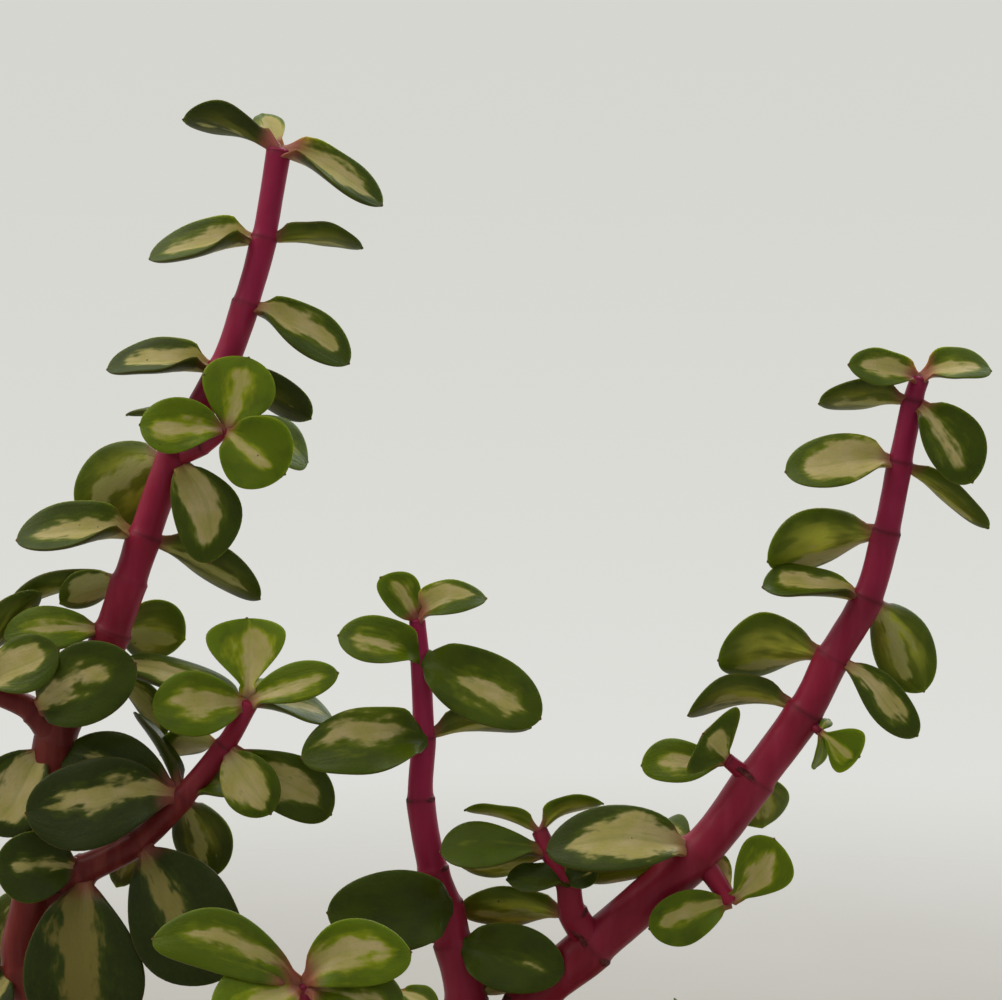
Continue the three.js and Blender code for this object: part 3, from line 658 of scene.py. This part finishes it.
fanned = shader(tree, "SUBTRACT", 4.0, t)
fanned = shader(tree, "MULTIPLY", q, fanned)
streaky = leaf_noise(fanned, 1.667, 10, 2, 0.55)
lines = leaf_noise(fanned, 0.4545, 8.333, 2)
blots = leaf_noise(across_mm, 3.571, 5, 2, 0.45)
ragged = leaf_noise(across_mm, 1.333, 3.333, 2, 0.6)
fine = leaf_noise(across_mm, 0.4167, 0.8333, 3)
narrowing = shader(tree, "POWER", t, 3.0)
narrowing = shader(tree, "SUBTRACT", 1.1, narrowing)
reach_out = shader(tree, "MULTIPLY", cream, narrowing)
at_foot = shader(tree, "MapRange", t, 0.25, 0.0, 0.0, 0.22)
reach_out = shader(tree, "ADD", reach_out, at_foot)
at_tip = shader(tree, "MapRange", t, 0.76, 0.97, 0.0, 0.5)
reach_out = shader(tree, "SUBTRACT", reach_out, at_tip)
for pattern, weight in ((streaky, 1.0), (blots, 0.7), (lines, 0.2), (ragged, 0.6)):
    feather = shader(tree, "MULTIPLY_ADD", pattern, weight, -weight / 2)
    reach_out = shader(tree, "ADD", reach_out, feather)
sides = shader(tree, "SUBTRACT", q, shift)
sides = shader(tree, "ABSOLUTE", sides)
inside = shader(tree, "SUBTRACT", reach_out, sides)
pale = shader(tree, "MapRange", inside, -0.14, 0.1)
halfway = shader(tree, "MapRange", inside, -0.38, 0.0)
by_tone = shader(tree, "MULTIPLY_ADD", tone, 0.6, 0.4)
halfway = shader(tree, "MULTIPLY", halfway, by_tone)
from_midrib = shader(tree, "ABSOLUTE", q)
# The underside's middle turns lime: partly its own paler green, partly painted glow of light
# shining through
belly_glow = shader(tree, "MapRange", from_midrib, 1.0, 0.2)
for less in (shader(tree, "MULTIPLY_ADD", tone, 0.85, 0.06),
             shader(tree, "MapRange", t, 1.0, 0.45, 0.1, 1.0),
             shader(tree, "MapRange", streaky, 0.38, 0.58, 0.3, 1.1)):
    belly_glow = shader(tree, "MULTIPLY", belly_glow, less)
dark_green = shader(tree, "Mix", tone, "#2a3604", "#697f00")
mid_green = shader(tree, "Mix", tone, "#586a08", "#a3ac14")
green = shader(tree, "Mix", halfway, dark_green, mid_green)
under_tone = shader(tree, "MULTIPLY", tone, 0.6)
under_dark = shader(tree, "Mix", under_tone, "#2a3604", "#697f00")
under_green = shader(tree, "Mix", belly_glow, under_dark, "#cbcd4a")
underneath = shader(tree, "MapRange", top, 0.08, -0.08)
green = shader(tree, "Mix", underneath, green, under_green)
green = shader(tree, "Mix", shader(tree, "MapRange", blots, 0.45, 0.75, 0, 0.35), green, "#202b06")
cream_colour = shader(tree, "Mix", shader(tree, "MapRange", blots, 0.3, 0.7), "#c8b983", "#b5ab62")
veined = shader(tree, "Mix", 0.4, cream_colour, mid_green)
midrib = shader(tree, "SUBTRACT", q, 0.25)
midrib = shader(tree, "MULTIPLY_ADD", streaky, 0.5, midrib)
midrib = shader(tree, "ABSOLUTE", midrib)
midrib = shader(tree, "MapRange", midrib, 0.1, 0.02, 0, 0.5)
veins = shader(tree, "MapRange", lines, 0.56, 0.8, 0, 0.7)
veins = shader(tree, "MAXIMUM", veins, midrib)
cream_colour = shader(tree, "Mix", veins, cream_colour, veined)
shaded = shader(tree, "MULTIPLY", underneath, 0.6)
cream_colour = shader(tree, "Mix", shaded, cream_colour, "#a8af62")
# Leaves with a tone below 0.08 get their cream dulled towards olive: painted shade
painted_shade = shader(tree, "MapRange", tone, 0.08, -0.25)
cream_colour = shader(tree, "Mix", painted_shade, cream_colour, "#7a7034")
speckle = shader(tree, "MapRange", fine, 0.45, 0.8, 0, 0.12)
blush = shader(tree, "MULTIPLY_ADD", tender, -0.1, t)
blush = shader(tree, "MULTIPLY_ADD", blots, 0.12, blush)
blush = shader(tree, "MapRange", blush, 0.25, 0.04, 0, 0.85)
rim = shader(tree, "MapRange", from_midrib, 0.96, 1.0, 0, 0.25)
tip = shader(tree, "MapRange", t, 0.992, 0.9995, 0, 0.7)
spot_place = shader(tree, "CombineXYZ", across_mm, along_mm, seed)
cells = shader(tree, "TexVoronoi", spot_place, 0.32).node
cell_red = shader(tree, "SeparateColor", cells.outputs["Color"])
chosen = shader(tree, "LESS_THAN", cell_red, 0.3)
spots = shader(tree, "MapRange", cells.outputs["Distance"], 0.085, 0.04)
spots = shader(tree, "MULTIPLY", spots, chosen)
dark_spots = shader(tree, "MULTIPLY", spots, 0.8)
leaf_colour = shader(tree, "Mix", pale, green, cream_colour)
for share, colour in ((speckle, "#5c5c20"), (blush, "#a35650"), (rim, "#6b4030"),
                      (tip, "#5b2f20"), (dark_spots, "#3a2412")):
    leaf_colour = shader(tree, "Mix", share, leaf_colour, colour)
place = shader(tree, "TexCoord", output="Object")
pits = shader(tree, "TexNoise", place, 1000 / 0.3846, 2, 0.6)
relief = shader(tree, "MULTIPLY", pits, 0.4)
relief = shader(tree, "MULTIPLY_ADD", lines, 0.5, relief)
relief = shader(tree, "MULTIPLY_ADD", spots, -0.6, relief)
coat(tree, surface, leaf_colour, relief, 0.25, 0.6)
satin = shader(tree, "MULTIPLY_ADD", blots, 0.16, 0.34)
tree.links.new(satin, surface.inputs["Roughness"])


def leafy_stem(name, branches, seed):
    """Makes a node's two pieces: its stems in one mesh, and its leaves in another. A leaf scar is
    put opposite a lone leaf, and two at a node without leaves."""
    stems, leaves, scars = [], [], []
    for order, (first_radius, last_radius, nodes) in enumerate(branches):
        places = [place for place, _ in nodes]
        stem = stem_skin(places, first_radius, last_radius, spacing=0.5, around=32)
        if order:
            stem[2]["age"] = SHOOT_AGE + (1 - SHOOT_AGE) * stem[2]["age"]
        stems.append(stem)
        for k, (root, blades) in enumerate(nodes):
            radius = first_radius + (last_radius - first_radius) * k / (len(nodes) - 1)
            at_top = k == len(nodes) - 1
            for blade in blades:
                hidden = (0.2 if at_top else 0.6) * radius * (blade["ahead"] == 0)
                stalk = min(STALK_SHARE * blade["width"], WIDEST_STALK)
                if at_top:
                    stalk = min(TOP_STALK_SHARE * blade["width"], 1.9 * radius)
                leaves.append(leaf_skin(root, blade, hidden, stalk, at_top and order == 0,
                                        seed * 1000 + len(leaves)))
            if 0 < k < len(nodes) - 1 and len(blades) < 2:
                line = np.subtract(places[k + 1], places[k - 1])
                line = line / np.linalg.norm(line)
                away = np.array([1.0, -0.5, 0.0])
                for way in [-blade["reach"] for blade in blades] or [away, away * (-1, 1, 1)]:
                    way = way - line * (way @ line)
                    way = way / np.linalg.norm(way)
                    scars.append([*(np.asarray(root) + way * radius), *line, radius])
    points, faces, values = joined(stems)
    values["scar"] = scarred(points, scars)
    piece(name + "_epidermis", points, faces, epidermis, [name], values)
    points, faces, values = joined(leaves)
    piece(name + "_leaves", points, faces, flesh, [name], values)


LEFT_STEM = [
    branch(4.6, 2,
           node(-2.5, 0, 103.5),
           node(-21.5, 2, 117.5),
           node(-47, 3, 127.5),
           node(-66.5, 2, 139.5),
           node(-74.5, 0, 154.5, leaf(-9, -5, -6, 12, 70, 0.2, 0)),
           node(-72, 0, 168.5, leaf(-9, 5, -15, 10, -60, 0.6, 0.3)),
           node(-69, 2, 192.5, leaf(-10.5, -5, -14.5, 13, 70, 0.55, 0.05)),
           node(-62.5, 3, 204.5, leaf(24, 2, -4.5, 8, 35, 0.42, 0.35, arch=0.06),
                leaf(11, 5, -12.5, 5.5, -60, 0.62, 0.5, sway=0.1)),
           node(-59.5, 3, 211, leaf(-17.5, -4, -0.5, 8.5, 62, 0.26, 0.7),
                leaf(11, 9, -2.5, 12, -75, 0.22, 0.75)),
           node(-56.5, 3, 219.5, leaf(-12, 2, -4, 7.5, -55, 0.75, 0.6),
                leaf(-21.5, 4, -5.5, 6, -30, 0.02, 0.5, arch=0.12)),
           node(-54, 4, 227, leaf(-21, -3, -0.5, 10.5, 40, 0.42, 0.25, arch=0.06, cup=0.65),
                leaf(19, 3, -11, 9.5, -42, 0.04, 0.4, arch=0.06)),
           node(-49, 5, 240.5, leaf(-17, 6, -10.5, 15, -75, 0.3, 0.85),
                leaf(6.5, -6, -17.5, 11.5, 85, 0.55, 0.3, twist=10, sway=-0.1)),
           node(-41, 6, 255, leaf(-19, -2, 0, 9.5, 34, 0.42, 0.18, arch=0.06, cup=0.6),
                leaf(14.5, 5, -8.5, 8.5, -45, -0.2, 0.1, arch=0.04)),
           node(-37, 7, 266, leaf(17.5, -3, -10, 9, 50, 0.42, 0.3, arch=0.05, cup=0.6)),
           node(-34, 8, 277, leaf(-19, -2, -3.5, 9.5, 34, 0.5, 0.35, arch=0.03, cup=0.6),
                leaf(16.5, 2, -1.5, 9.5, -18, 0.02, 0.5, arch=0.07)),
           node(-31.5, 9, 291.5,
                leaf(-16, 0, 5.5, 9, -32, 0.05, 0.15, arch=0.13, peak=0.7, base=1.5),
                leaf(-3.5, 8, 7, 5.5, 35, 0.65, 0.6, arch=0.02),
                leaf(17.5, -2, -9, 7.5, 42, 0.58, 0.3, arch=0.08, cup=0.6))),
    # the small shoot high up
    branch(1.3, 0.9,
           node(-49.5, 5, 239.5),
           node(-43.5, 1, 242),
           node(-39.5, -2, 245, leaf(-14, -2, 1, 9.5, 75, 0.26, 0.9),
                leaf(3.5, 3, 12, 12.5, 92, 0.14, 0.98, arch=0.04, cup=0.1),
                leaf(10, -4, -7, 13, 80, 0.02, 0.85), leaf(13, 6, -5.5, 10, 50, 0.12, 0.7),
                leaf(-17, 4, 2.5, 6, 2, 0.02, 0.5))),
    # the branch that points outwards
    branch(2.4, 1.6,
           node(-69, 2, 192.5),
           node(-72.5, 0, 198, leaf(18.5, -8, 9, 13.5, 80, 0.2, 0.2)),
           node(-79.5, -2, 202, leaf(12.5, -4, 7, 10, 68, 0.6, 0.3)),
           node(-81, -3, 205, leaf(-6, 0, 3, 10, 40, 0.42, 0.35),
                leaf(9.5, 6, 12.5, 8, -40, 0.02, 0.45))),
    # the branch with the rosette, whose lowest leaves have tones below 0 that dull their cream as
    # painted shade
    branch(2.9, 1.5,
           node(-71.5, 0, 167),
           node(-63.5, -2, 171.5, leaf(-14, -6, 2, 12, 75, 0.02, 0.08),
                leaf(1.5, -9, -28, 20, 88, 0.4, -0.25, shift=0.1)),
           node(-54.5, -3, 176.5, leaf(15.5, -8, -21, 18.5, 86, 0.02, -0.15),
                leaf(-5, 8, -9.5, 6, -80, 0.02, 0.4)),
           node(-47, -3, 184, leaf(-25, -7, -1.5, 15, 70, 0.22, -0.02),
                leaf(-20.5, 3, 6.5, 12, 60, -0.2, 0.1),
                leaf(-9, 7, 13, 6.5, -20, -0.2, 0.1, sway=-0.12),
                leaf(4, 6, -15, 10, -80, 0.25, 0.4), leaf(13, 2, 1.5, 9, 30, 0.02, 0.45)),
           node(-40, -3, 192.5, leaf(8, -5, -10.5, 9.5, 80, 0.62, 0.4),
                leaf(17.5, 2, -12, 10.5, 70, 0.45, 0.3), leaf(-11.5, 6, -2.5, 8, -40, 0.75, 0.6)),
           node(-36, -3, 199.5, leaf(-15.5, -4, 0, 11, 75, 0.32, 0.72),
                leaf(-0.5, 3, 14, 13.5, 88, 0.5, 0.98, arch=0.02, cup=0.5, peak=0.78, base=1.9),
                leaf(15, -2, 5.5, 7, 60, 0.3, 0.8), leaf(14, 2, -3.5, 8, 25, 0.3, 0.5),
                leaf(2.5, 5, 3.5, 3, 30, 0.3, 0.8))),
]
leafy_stem("left_stem", LEFT_STEM, 1)

# ------------------------------------------------------------------------------ right stem
# The stoutest stem: it leans out and then rises, with four short shoots along it.

RIGHT_STEM = [
    branch(4.5, 1.5,
           node(2, 0, 124),
           node(10.5, -1, 147.5),
           node(21.5, -2, 158.5),
           node(39, -3, 174.5,
                leaf(-25.5, -6, 1.5, 12, 55, 0.6, 0.15, arch=0.16, cup=0.4, peak=0.56),
                leaf(-6.5, 12, 1.5, 8, 60, 0.02, 0.4),
                leaf(-19, 5, -6, 8, -25, 0.14, 0.9, arch=-0.02)),
           node(48.5, -3, 187, leaf(2, 9, -10, 11, -78, 0.05, 0.85)),
           node(56.5, -4, 198.5, leaf(-19.5, -1, -0.5, 9.5, -42, 0.15, 0.55, arch=0.2)),
           node(61, -4, 207.5, leaf(-19, 0, -0.5, 13, -60, 0.14, 0.9, shift=0.5, arch=0.15),
                leaf(13.5, -4, -12.5, 7, 76, 0.45, 0.25, cup=0.5, sway=-0.02)),
           node(66.5, -5, 217.5,
                leaf(-17.5, -2, 2, 8.5, 32, 0.4, 0.3, arch=0.05, cup=0.6, peak=0.72, base=1.1),
                leaf(10, 3, -16, 10.5, -80, 0.25, 0.8, sway=0.05)),
           node(69.5, -5, 228.5, leaf(-19.5, 0, -5, 11.8, -60, 0.24, 1, shift=0.45, peak=0.55)),
           node(71.5, -6, 240, leaf(-19, -2, -1.5, 10, 55, 0.74, 0.45, arch=0.05, cup=0.45),
                leaf(15, 2, -11, 6, -22, 0.1, 0.6, arch=0.04)),
           node(73.5, -6, 250, leaf(-15, 3, -0.5, 10, -30, 0.2, 0.5, arch=0.05),
                leaf(9, -5, -13, 10, 85, 0.28, 0.3, cup=0.5, sway=-0.06)),
           node(74.5, -6, 253.5, leaf(-12, -3, 2.5, 7, 60, 0.42, 0.4, arch=0.03, cup=0.45),
                leaf(11.5, -1, 1.5, 7.5, 45, 0.42, 0.5, arch=0.17, cup=0.35, peak=0.48))),
    # the lower shoot at the inner side
    branch(2.6, 1.3,
           node(21.5, -2, 158.5),
           node(18, -4, 164.5, leaf(-19, 8.5, -2, 9, -60, 0.14, 0.9, arch=0.04)),
           node(17, -5, 170, leaf(-10, -1.5, 1, 7.2, 30, -0.2, 0.1, arch=0.03, base=0.7, ahead=1.4),
                leaf(5, -1.5, 3, 6, 50, -0.15, 0.1, base=0.7, ahead=1.4)),
           node(14, -4, 175, leaf(-18, -3, 0.5, 9.5, 42, -0.4, 0.4, arch=0.05, peak=0.7, base=1.1),
                leaf(-14.5, 6, -4, 8, -60, 0.14, 0.9, arch=-0.04)),
           node(12.5, -3, 178, leaf(-12.5, 1, 3.5, 7, -22, 0.3, 0.9, arch=0.09),
                leaf(10.5, 1, 4.6, 7.5, -30, 0.2, 0.9, arch=0.16, peak=0.48))),
    # the shoot at the outer side
    branch(1.9, 1.4,
           node(39, -3, 174),
           node(44, -6, 167,
                leaf(7, -3, 11, 10, 88, 0.36, 0.8, arch=0.04, sway=0.08, peak=0.72, base=1.3),
                leaf(-13.5, -3, -4, 8.8, 80, 0.12, 0.75, arch=0.04),
                leaf(-2.5, 7, 6.5, 4.5, 80, 0.75, 0.6))),
    # the upper shoot at the inner side
    branch(1.5, 1.1,
           node(48, -3, 186.5),
           node(43.5, -5, 190.5, leaf(-14, 3, -1.5, 7.5, 72, 0.3, 0.65),
                leaf(-4.2, -3, 4.8, 14, 66, 0.35, 0.3, arch=0.05, peak=0.82, base=1.7))),
    # the bud
    branch(0.9, 0.6,
           node(56, -4, 197.5),
           node(58.5, -7, 195.5,
                leaf(6.5, -1, -4, 8, 86, 0.15, 0.85, arch=0.03, peak=0.75, base=1.5),
                leaf(-0.5, 2, -6.5, 4, 60, 0.14, 0.9, twist=40),
                leaf(2, 3, 1.5, 2, 60, 0.14, 0.9))),
]
leafy_stem("right_stem", RIGHT_STEM, 2)

# ----------------------------------------------------------------------------- centre stem
# A nearly upright stem, bare and woody in its lower part, with small leaves at its top.

CENTRE_STEM = [
    branch(4, 1.3,
           node(1.5, 0, 124),
           node(0, 0, 148.5, leaf(10.5, 3, 1.5, 9, -40, 0.6, 0.35)),
           node(-2, 0, 158.5,
                leaf(17, -3.5, -3.5, 11.5, 75, -0.15, 0.22, arch=0.06, peak=0.5, base=0.5,
                     aside=1.5, ahead=2.4),
                leaf(-9.5, 3, -2, 8, -20, 0.05, 0.3)),
           node(-3.5, 0, 165,
                leaf(-20.5, -6, 0.5, 13.6, 80, -0.7, 0.17, peak=0.5, base=0.5, aside=1.3,
                     ahead=2.2)),
           node(-5.5, 0, 171),
           node(-7.5, 0, 183),
           node(-7, 0, 193.5,
                leaf(-20.5, -5, -2.5, 11.5, 64, 0.4, 0.35, shift=0.35, cup=0.4, peak=0.5, base=0.5,
                     aside=0.5, ahead=1.3),
                leaf(18, 4, 1, 10, -35, 0.04, 0.5)),
           node(-7.5, 0, 207,
                leaf(-13.5, -2, 4, 8.5, 60, 0.3, 0.6, arch=0.13, cup=0.4, base=0.5, ahead=1.1),
                leaf(19.2, -5, -9.5, 12, 74, 0.26, 0.4, arch=0.02, peak=0.52, base=0.5, aside=0.8,
                     ahead=1.1)),
           node(-8, 0, 213, leaf(-6, -1, 7.5, 6.8, 80, 0.25, 0.6, arch=0.03, sway=0.1, base=0.7),
                leaf(11.5, -1, 4, 7, 50, 0.42, 0.4, arch=0.24, cup=0.45, peak=0.48, base=0.65))),
]
leafy_stem("centre_stem", CENTRE_STEM, 3)

# ------------------------------------------------------------------------------ front stem
# A pale young shoot that leans out towards -Y and forks near its top.

FRONT_STEM = [
    branch(2.4, 1.3,
           node(-1, -3, 101),
           node(-10, -34, 126),
           node(-20, -44, 148.5),
           node(-24, -45, 163, leaf(-22, -3, 8, 9.5, 70, 0.12, 0.6, sway=0.1),
                leaf(-12.5, -8, -3, 11, 60, 0.14, 0.9),
                leaf(16.5, -3, 6, 10.5, 76, 0.38, 0.85, sway=-0.14),
                leaf(15.5, -3, -3.5, 10.5, 60, 0.02, 0.5))),
    # the fork
    branch(1.4, 0.9,
           node(-10, -34, 126),
           node(-9.5, -28, 143.5),
           node(-10.5, -25, 156.5, leaf(-7.5, 2, 0, 6, 40, 0.35, 0.4),
                leaf(6.5, -2, -2, 5, 45, 0.35, 0.4))),
]
leafy_stem("front_stem", FRONT_STEM, 4)

# ------------------------------------------------------------------------------ low shoots
# Six short leafy shoots round the foot, each grown out of the trunk's side. Their leaves stand in
# pairs, and they are made as the tall stems are.

LOW_SHOOT_RADII = (1.7, 1.0)
PAIR_LENGTH = 15.0
WIDTH_SHARE = 0.64
LOWEST_SLOPE = 22
STEEPER_BY = 30
LIFTED = np.array([0, 0, 0.15])
LOW_SHOOTS = {
    "low_shoot_back": [(0, 3, 101), (2, 20, 108), (5, 34, 117), (6, 44, 127)],
    "low_shoot_back_left": [(-2, 3, 104), (-16, 18, 112), (-28, 32, 119), (-34, 42, 128)],
    "low_shoot_back_right": [(2, 2, 106), (18, 17, 113), (33, 28, 119), (42, 36, 128)],
    "low_shoot_right": [(3, 0, 112), (22, 1, 117), (38, 2, 123), (52, 1, 131)],
    "low_shoot_front_right": [(1, -2, 103), (15, -18, 111), (26, -32, 118), (34, -42, 129)],
    "low_shoot_front_left": [(-4, -2, 101), (-24, -14, 108), (-42, -26, 114), (-52, -32, 124)],
}


def draw(key):
    """A number between -1 and 1 that looks random: 2 frac(43758.5453 sin(12.9898 key)) - 1."""
    wide = 43758.5453 * math.sin(12.9898 * key)
    return 2 * (wide - math.floor(wide)) - 1


def about(vector, axis, angle):
    """A vector turned about a unit axis, by Rodrigues' formula."""
    return (vector * math.cos(angle) + np.cross(axis, vector) * math.sin(angle)
            + axis * (axis @ vector) * (1 - math.cos(angle)))


def paired_leaves(places, seed):
    """The shoot's nodes with their pairs of leaves, each pair a quarter turn from the one below.
    They are longest low down, and stand steeper towards the tip."""
    places = [np.asarray(p, float) for p in places]
    last = len(places) - 1
    rng = np.random.default_rng(500 + seed)
    nodes = [(places[0], ())]
    for step in range(last):
        grow = places[step + 1] - places[step]
        grow = grow / np.linalg.norm(grow)
        across = np.array([-grow[1], grow[0], 0.15])
        blades = []
        for way in (0, 1):
            key = 10 * seed + 2 * step + way
            out = about(across, grow, math.pi * (0.5 * step + way) + 0.3 * draw(key))
            out = out - grow * (out @ grow)
            out /= np.linalg.norm(out)
            steep = LOWEST_SLOPE + STEEPER_BY * step / last + 8 * draw(key + 0.3)
            steep = math.radians(steep)
            length = PAIR_LENGTH * (1.05 - 0.25 * step / last) * (1 + 0.12 * draw(key + 0.6))
            reach = out * math.cos(steep) + grow * math.sin(steep) + LIFTED
            reach = reach / np.linalg.norm(reach) * length
            blades.append(dict(PLAIN_LEAF, reach=reach, up=grow + np.array([0, 0, 0.6]),
                               width=WIDTH_SHARE * length, cream=rng.uniform(-0.1, 0.6),
                               tone=rng.uniform(0.1, 0.8)))
        nodes.append((places[step + 1], tuple(blades)))
    return nodes


for order, (name, places) in enumerate(LOW_SHOOTS.items()):
    shoot = branch(*LOW_SHOOT_RADII, *paired_leaves(places, order + 1))
    leafy_stem(name, [shoot], 10 + order)

# -------------------------------------------------------------------- floor, light, camera
# A plain pale floor that fades into the pale surroundings, soft light from broad lamps above,
# and a level camera that looks a little down on the stems.

FLOOR_RADIUS = 1.2
FLOOR_SIDES = 96
PLANT_MIDDLE = (0, 0, 0.2)
CAMERA_PLACE = (0.006, -0.41898, 0.26263)
CAMERA_TILT = 86
CAMERA_LENS = 90.54
SENSOR_WIDTH = 36

floor_mesh = bpy.data.meshes.new("floor")
turn = np.linspace(0, 2 * np.pi, FLOOR_SIDES, endpoint=False)
floor_points = FLOOR_RADIUS * np.stack([np.cos(turn), np.sin(turn), 0 * turn], -1)
floor_mesh.from_pydata(floor_points.tolist(), [], [list(range(FLOOR_SIDES))])

# Matt pale paint, faintly mottled. It turns clear towards its edge, so that no edge shows.
painted, tree, surface = material("pale_floor", Roughness=0.9)
place = shader(tree, "TexCoord", output="Object")
distance = shader(tree, "VectorMath", place, operation="LENGTH")
mottle = shader(tree, "MapRange", shader(tree, "TexNoise", place, 1000 / 111.1, 2, 0.5), 0.3, 0.7)
floor_colour = shader(tree, "Mix", mottle, "#b0ada5", "#b3b0a9")
tree.links.new(floor_colour, surface.inputs["Base Color"])
clear = shader(tree, "BsdfTransparent")
outwards = shader(tree, "MapRange", distance, 0.5, 1.1)
fade = shader(tree, "MixShader", outwards, surface.outputs[0], clear)
tree.links.new(fade, tree.nodes["Material Output"].inputs["Surface"])
floor_mesh.materials.append(painted)
floor = bpy.data.objects.new("floor", floor_mesh)
bpy.context.collection.objects.link(floor)

world = bpy.data.worlds.new("pale_room")
bpy.context.scene.world = world
world.use_nodes = True
tree = world.node_tree
tree.nodes.clear()
direction = shader(tree, "TexCoord", output="Generated")
height = shader(tree, "SeparateXYZ", direction, output="Z")
wall_colour = shader(tree, "MapRange", height, -0.26, 0.13)
wall_colour = shader(tree, "Mix", wall_colour, "#e0e0dc", "#d6d6d0")
seen = shader(tree, "Background", wall_colour, 1.0)
ahead = shader(tree, "SeparateXYZ", direction, output="Y")
from_above = shader(tree, "MapRange", height, -0.3, 0.9, 0.22, 0.62)
from_ahead = shader(tree, "MapRange", ahead, -0.4, 0.9, 0.0, 0.35)
glow = shader(tree, "ADD", from_above, from_ahead)
lit = shader(tree, "Background", "#f1f2ee", glow)
camera_ray = shader(tree, "LightPath", output="Is Camera Ray")
both = shader(tree, "MixShader", camera_ray, lit, seen)
world_output = tree.nodes.new("ShaderNodeOutputWorld")
tree.links.new(both, world_output.inputs["Surface"])


def lamp(name, place, aim, size, power, colour):
    """A square area lamp at a place, turned to its aim. Size is in metres and power in watts."""
    data = bpy.data.lights.new(name, "AREA")
    data.size = size
    data.energy = power
    data.color = srgb(colour)[:3]
    made = bpy.data.objects.new(name, data)
    bpy.context.collection.objects.link(made)
    made.location = place
    way = np.asarray(aim, float) - np.asarray(place, float)
    flat = math.hypot(way[0], way[1])
    made.rotation_euler = (math.atan2(flat, -way[2]), 0, math.atan2(way[1], way[0]) - math.pi / 2)


lamp("window", (-1.0, -0.2, 1.5), PLANT_MIDDLE, 1.2, 12, "#fff6ea")
lamp("back_fill", (0.5, 1.1, 1.1), PLANT_MIDDLE, 1.4, 12, "#f3f7ff")

camera_data = bpy.data.cameras.new("camera")
camera_data.lens = CAMERA_LENS
camera_data.sensor_width = SENSOR_WIDTH
camera_data.clip_start = 0.02
camera = bpy.data.objects.new("camera", camera_data)
bpy.context.collection.objects.link(camera)
camera.location = CAMERA_PLACE
camera.rotation_euler = (math.radians(CAMERA_TILT), 0, 0)
bpy.context.scene.camera = camera
bpy.context.scene.view_settings.view_transform = "Standard"
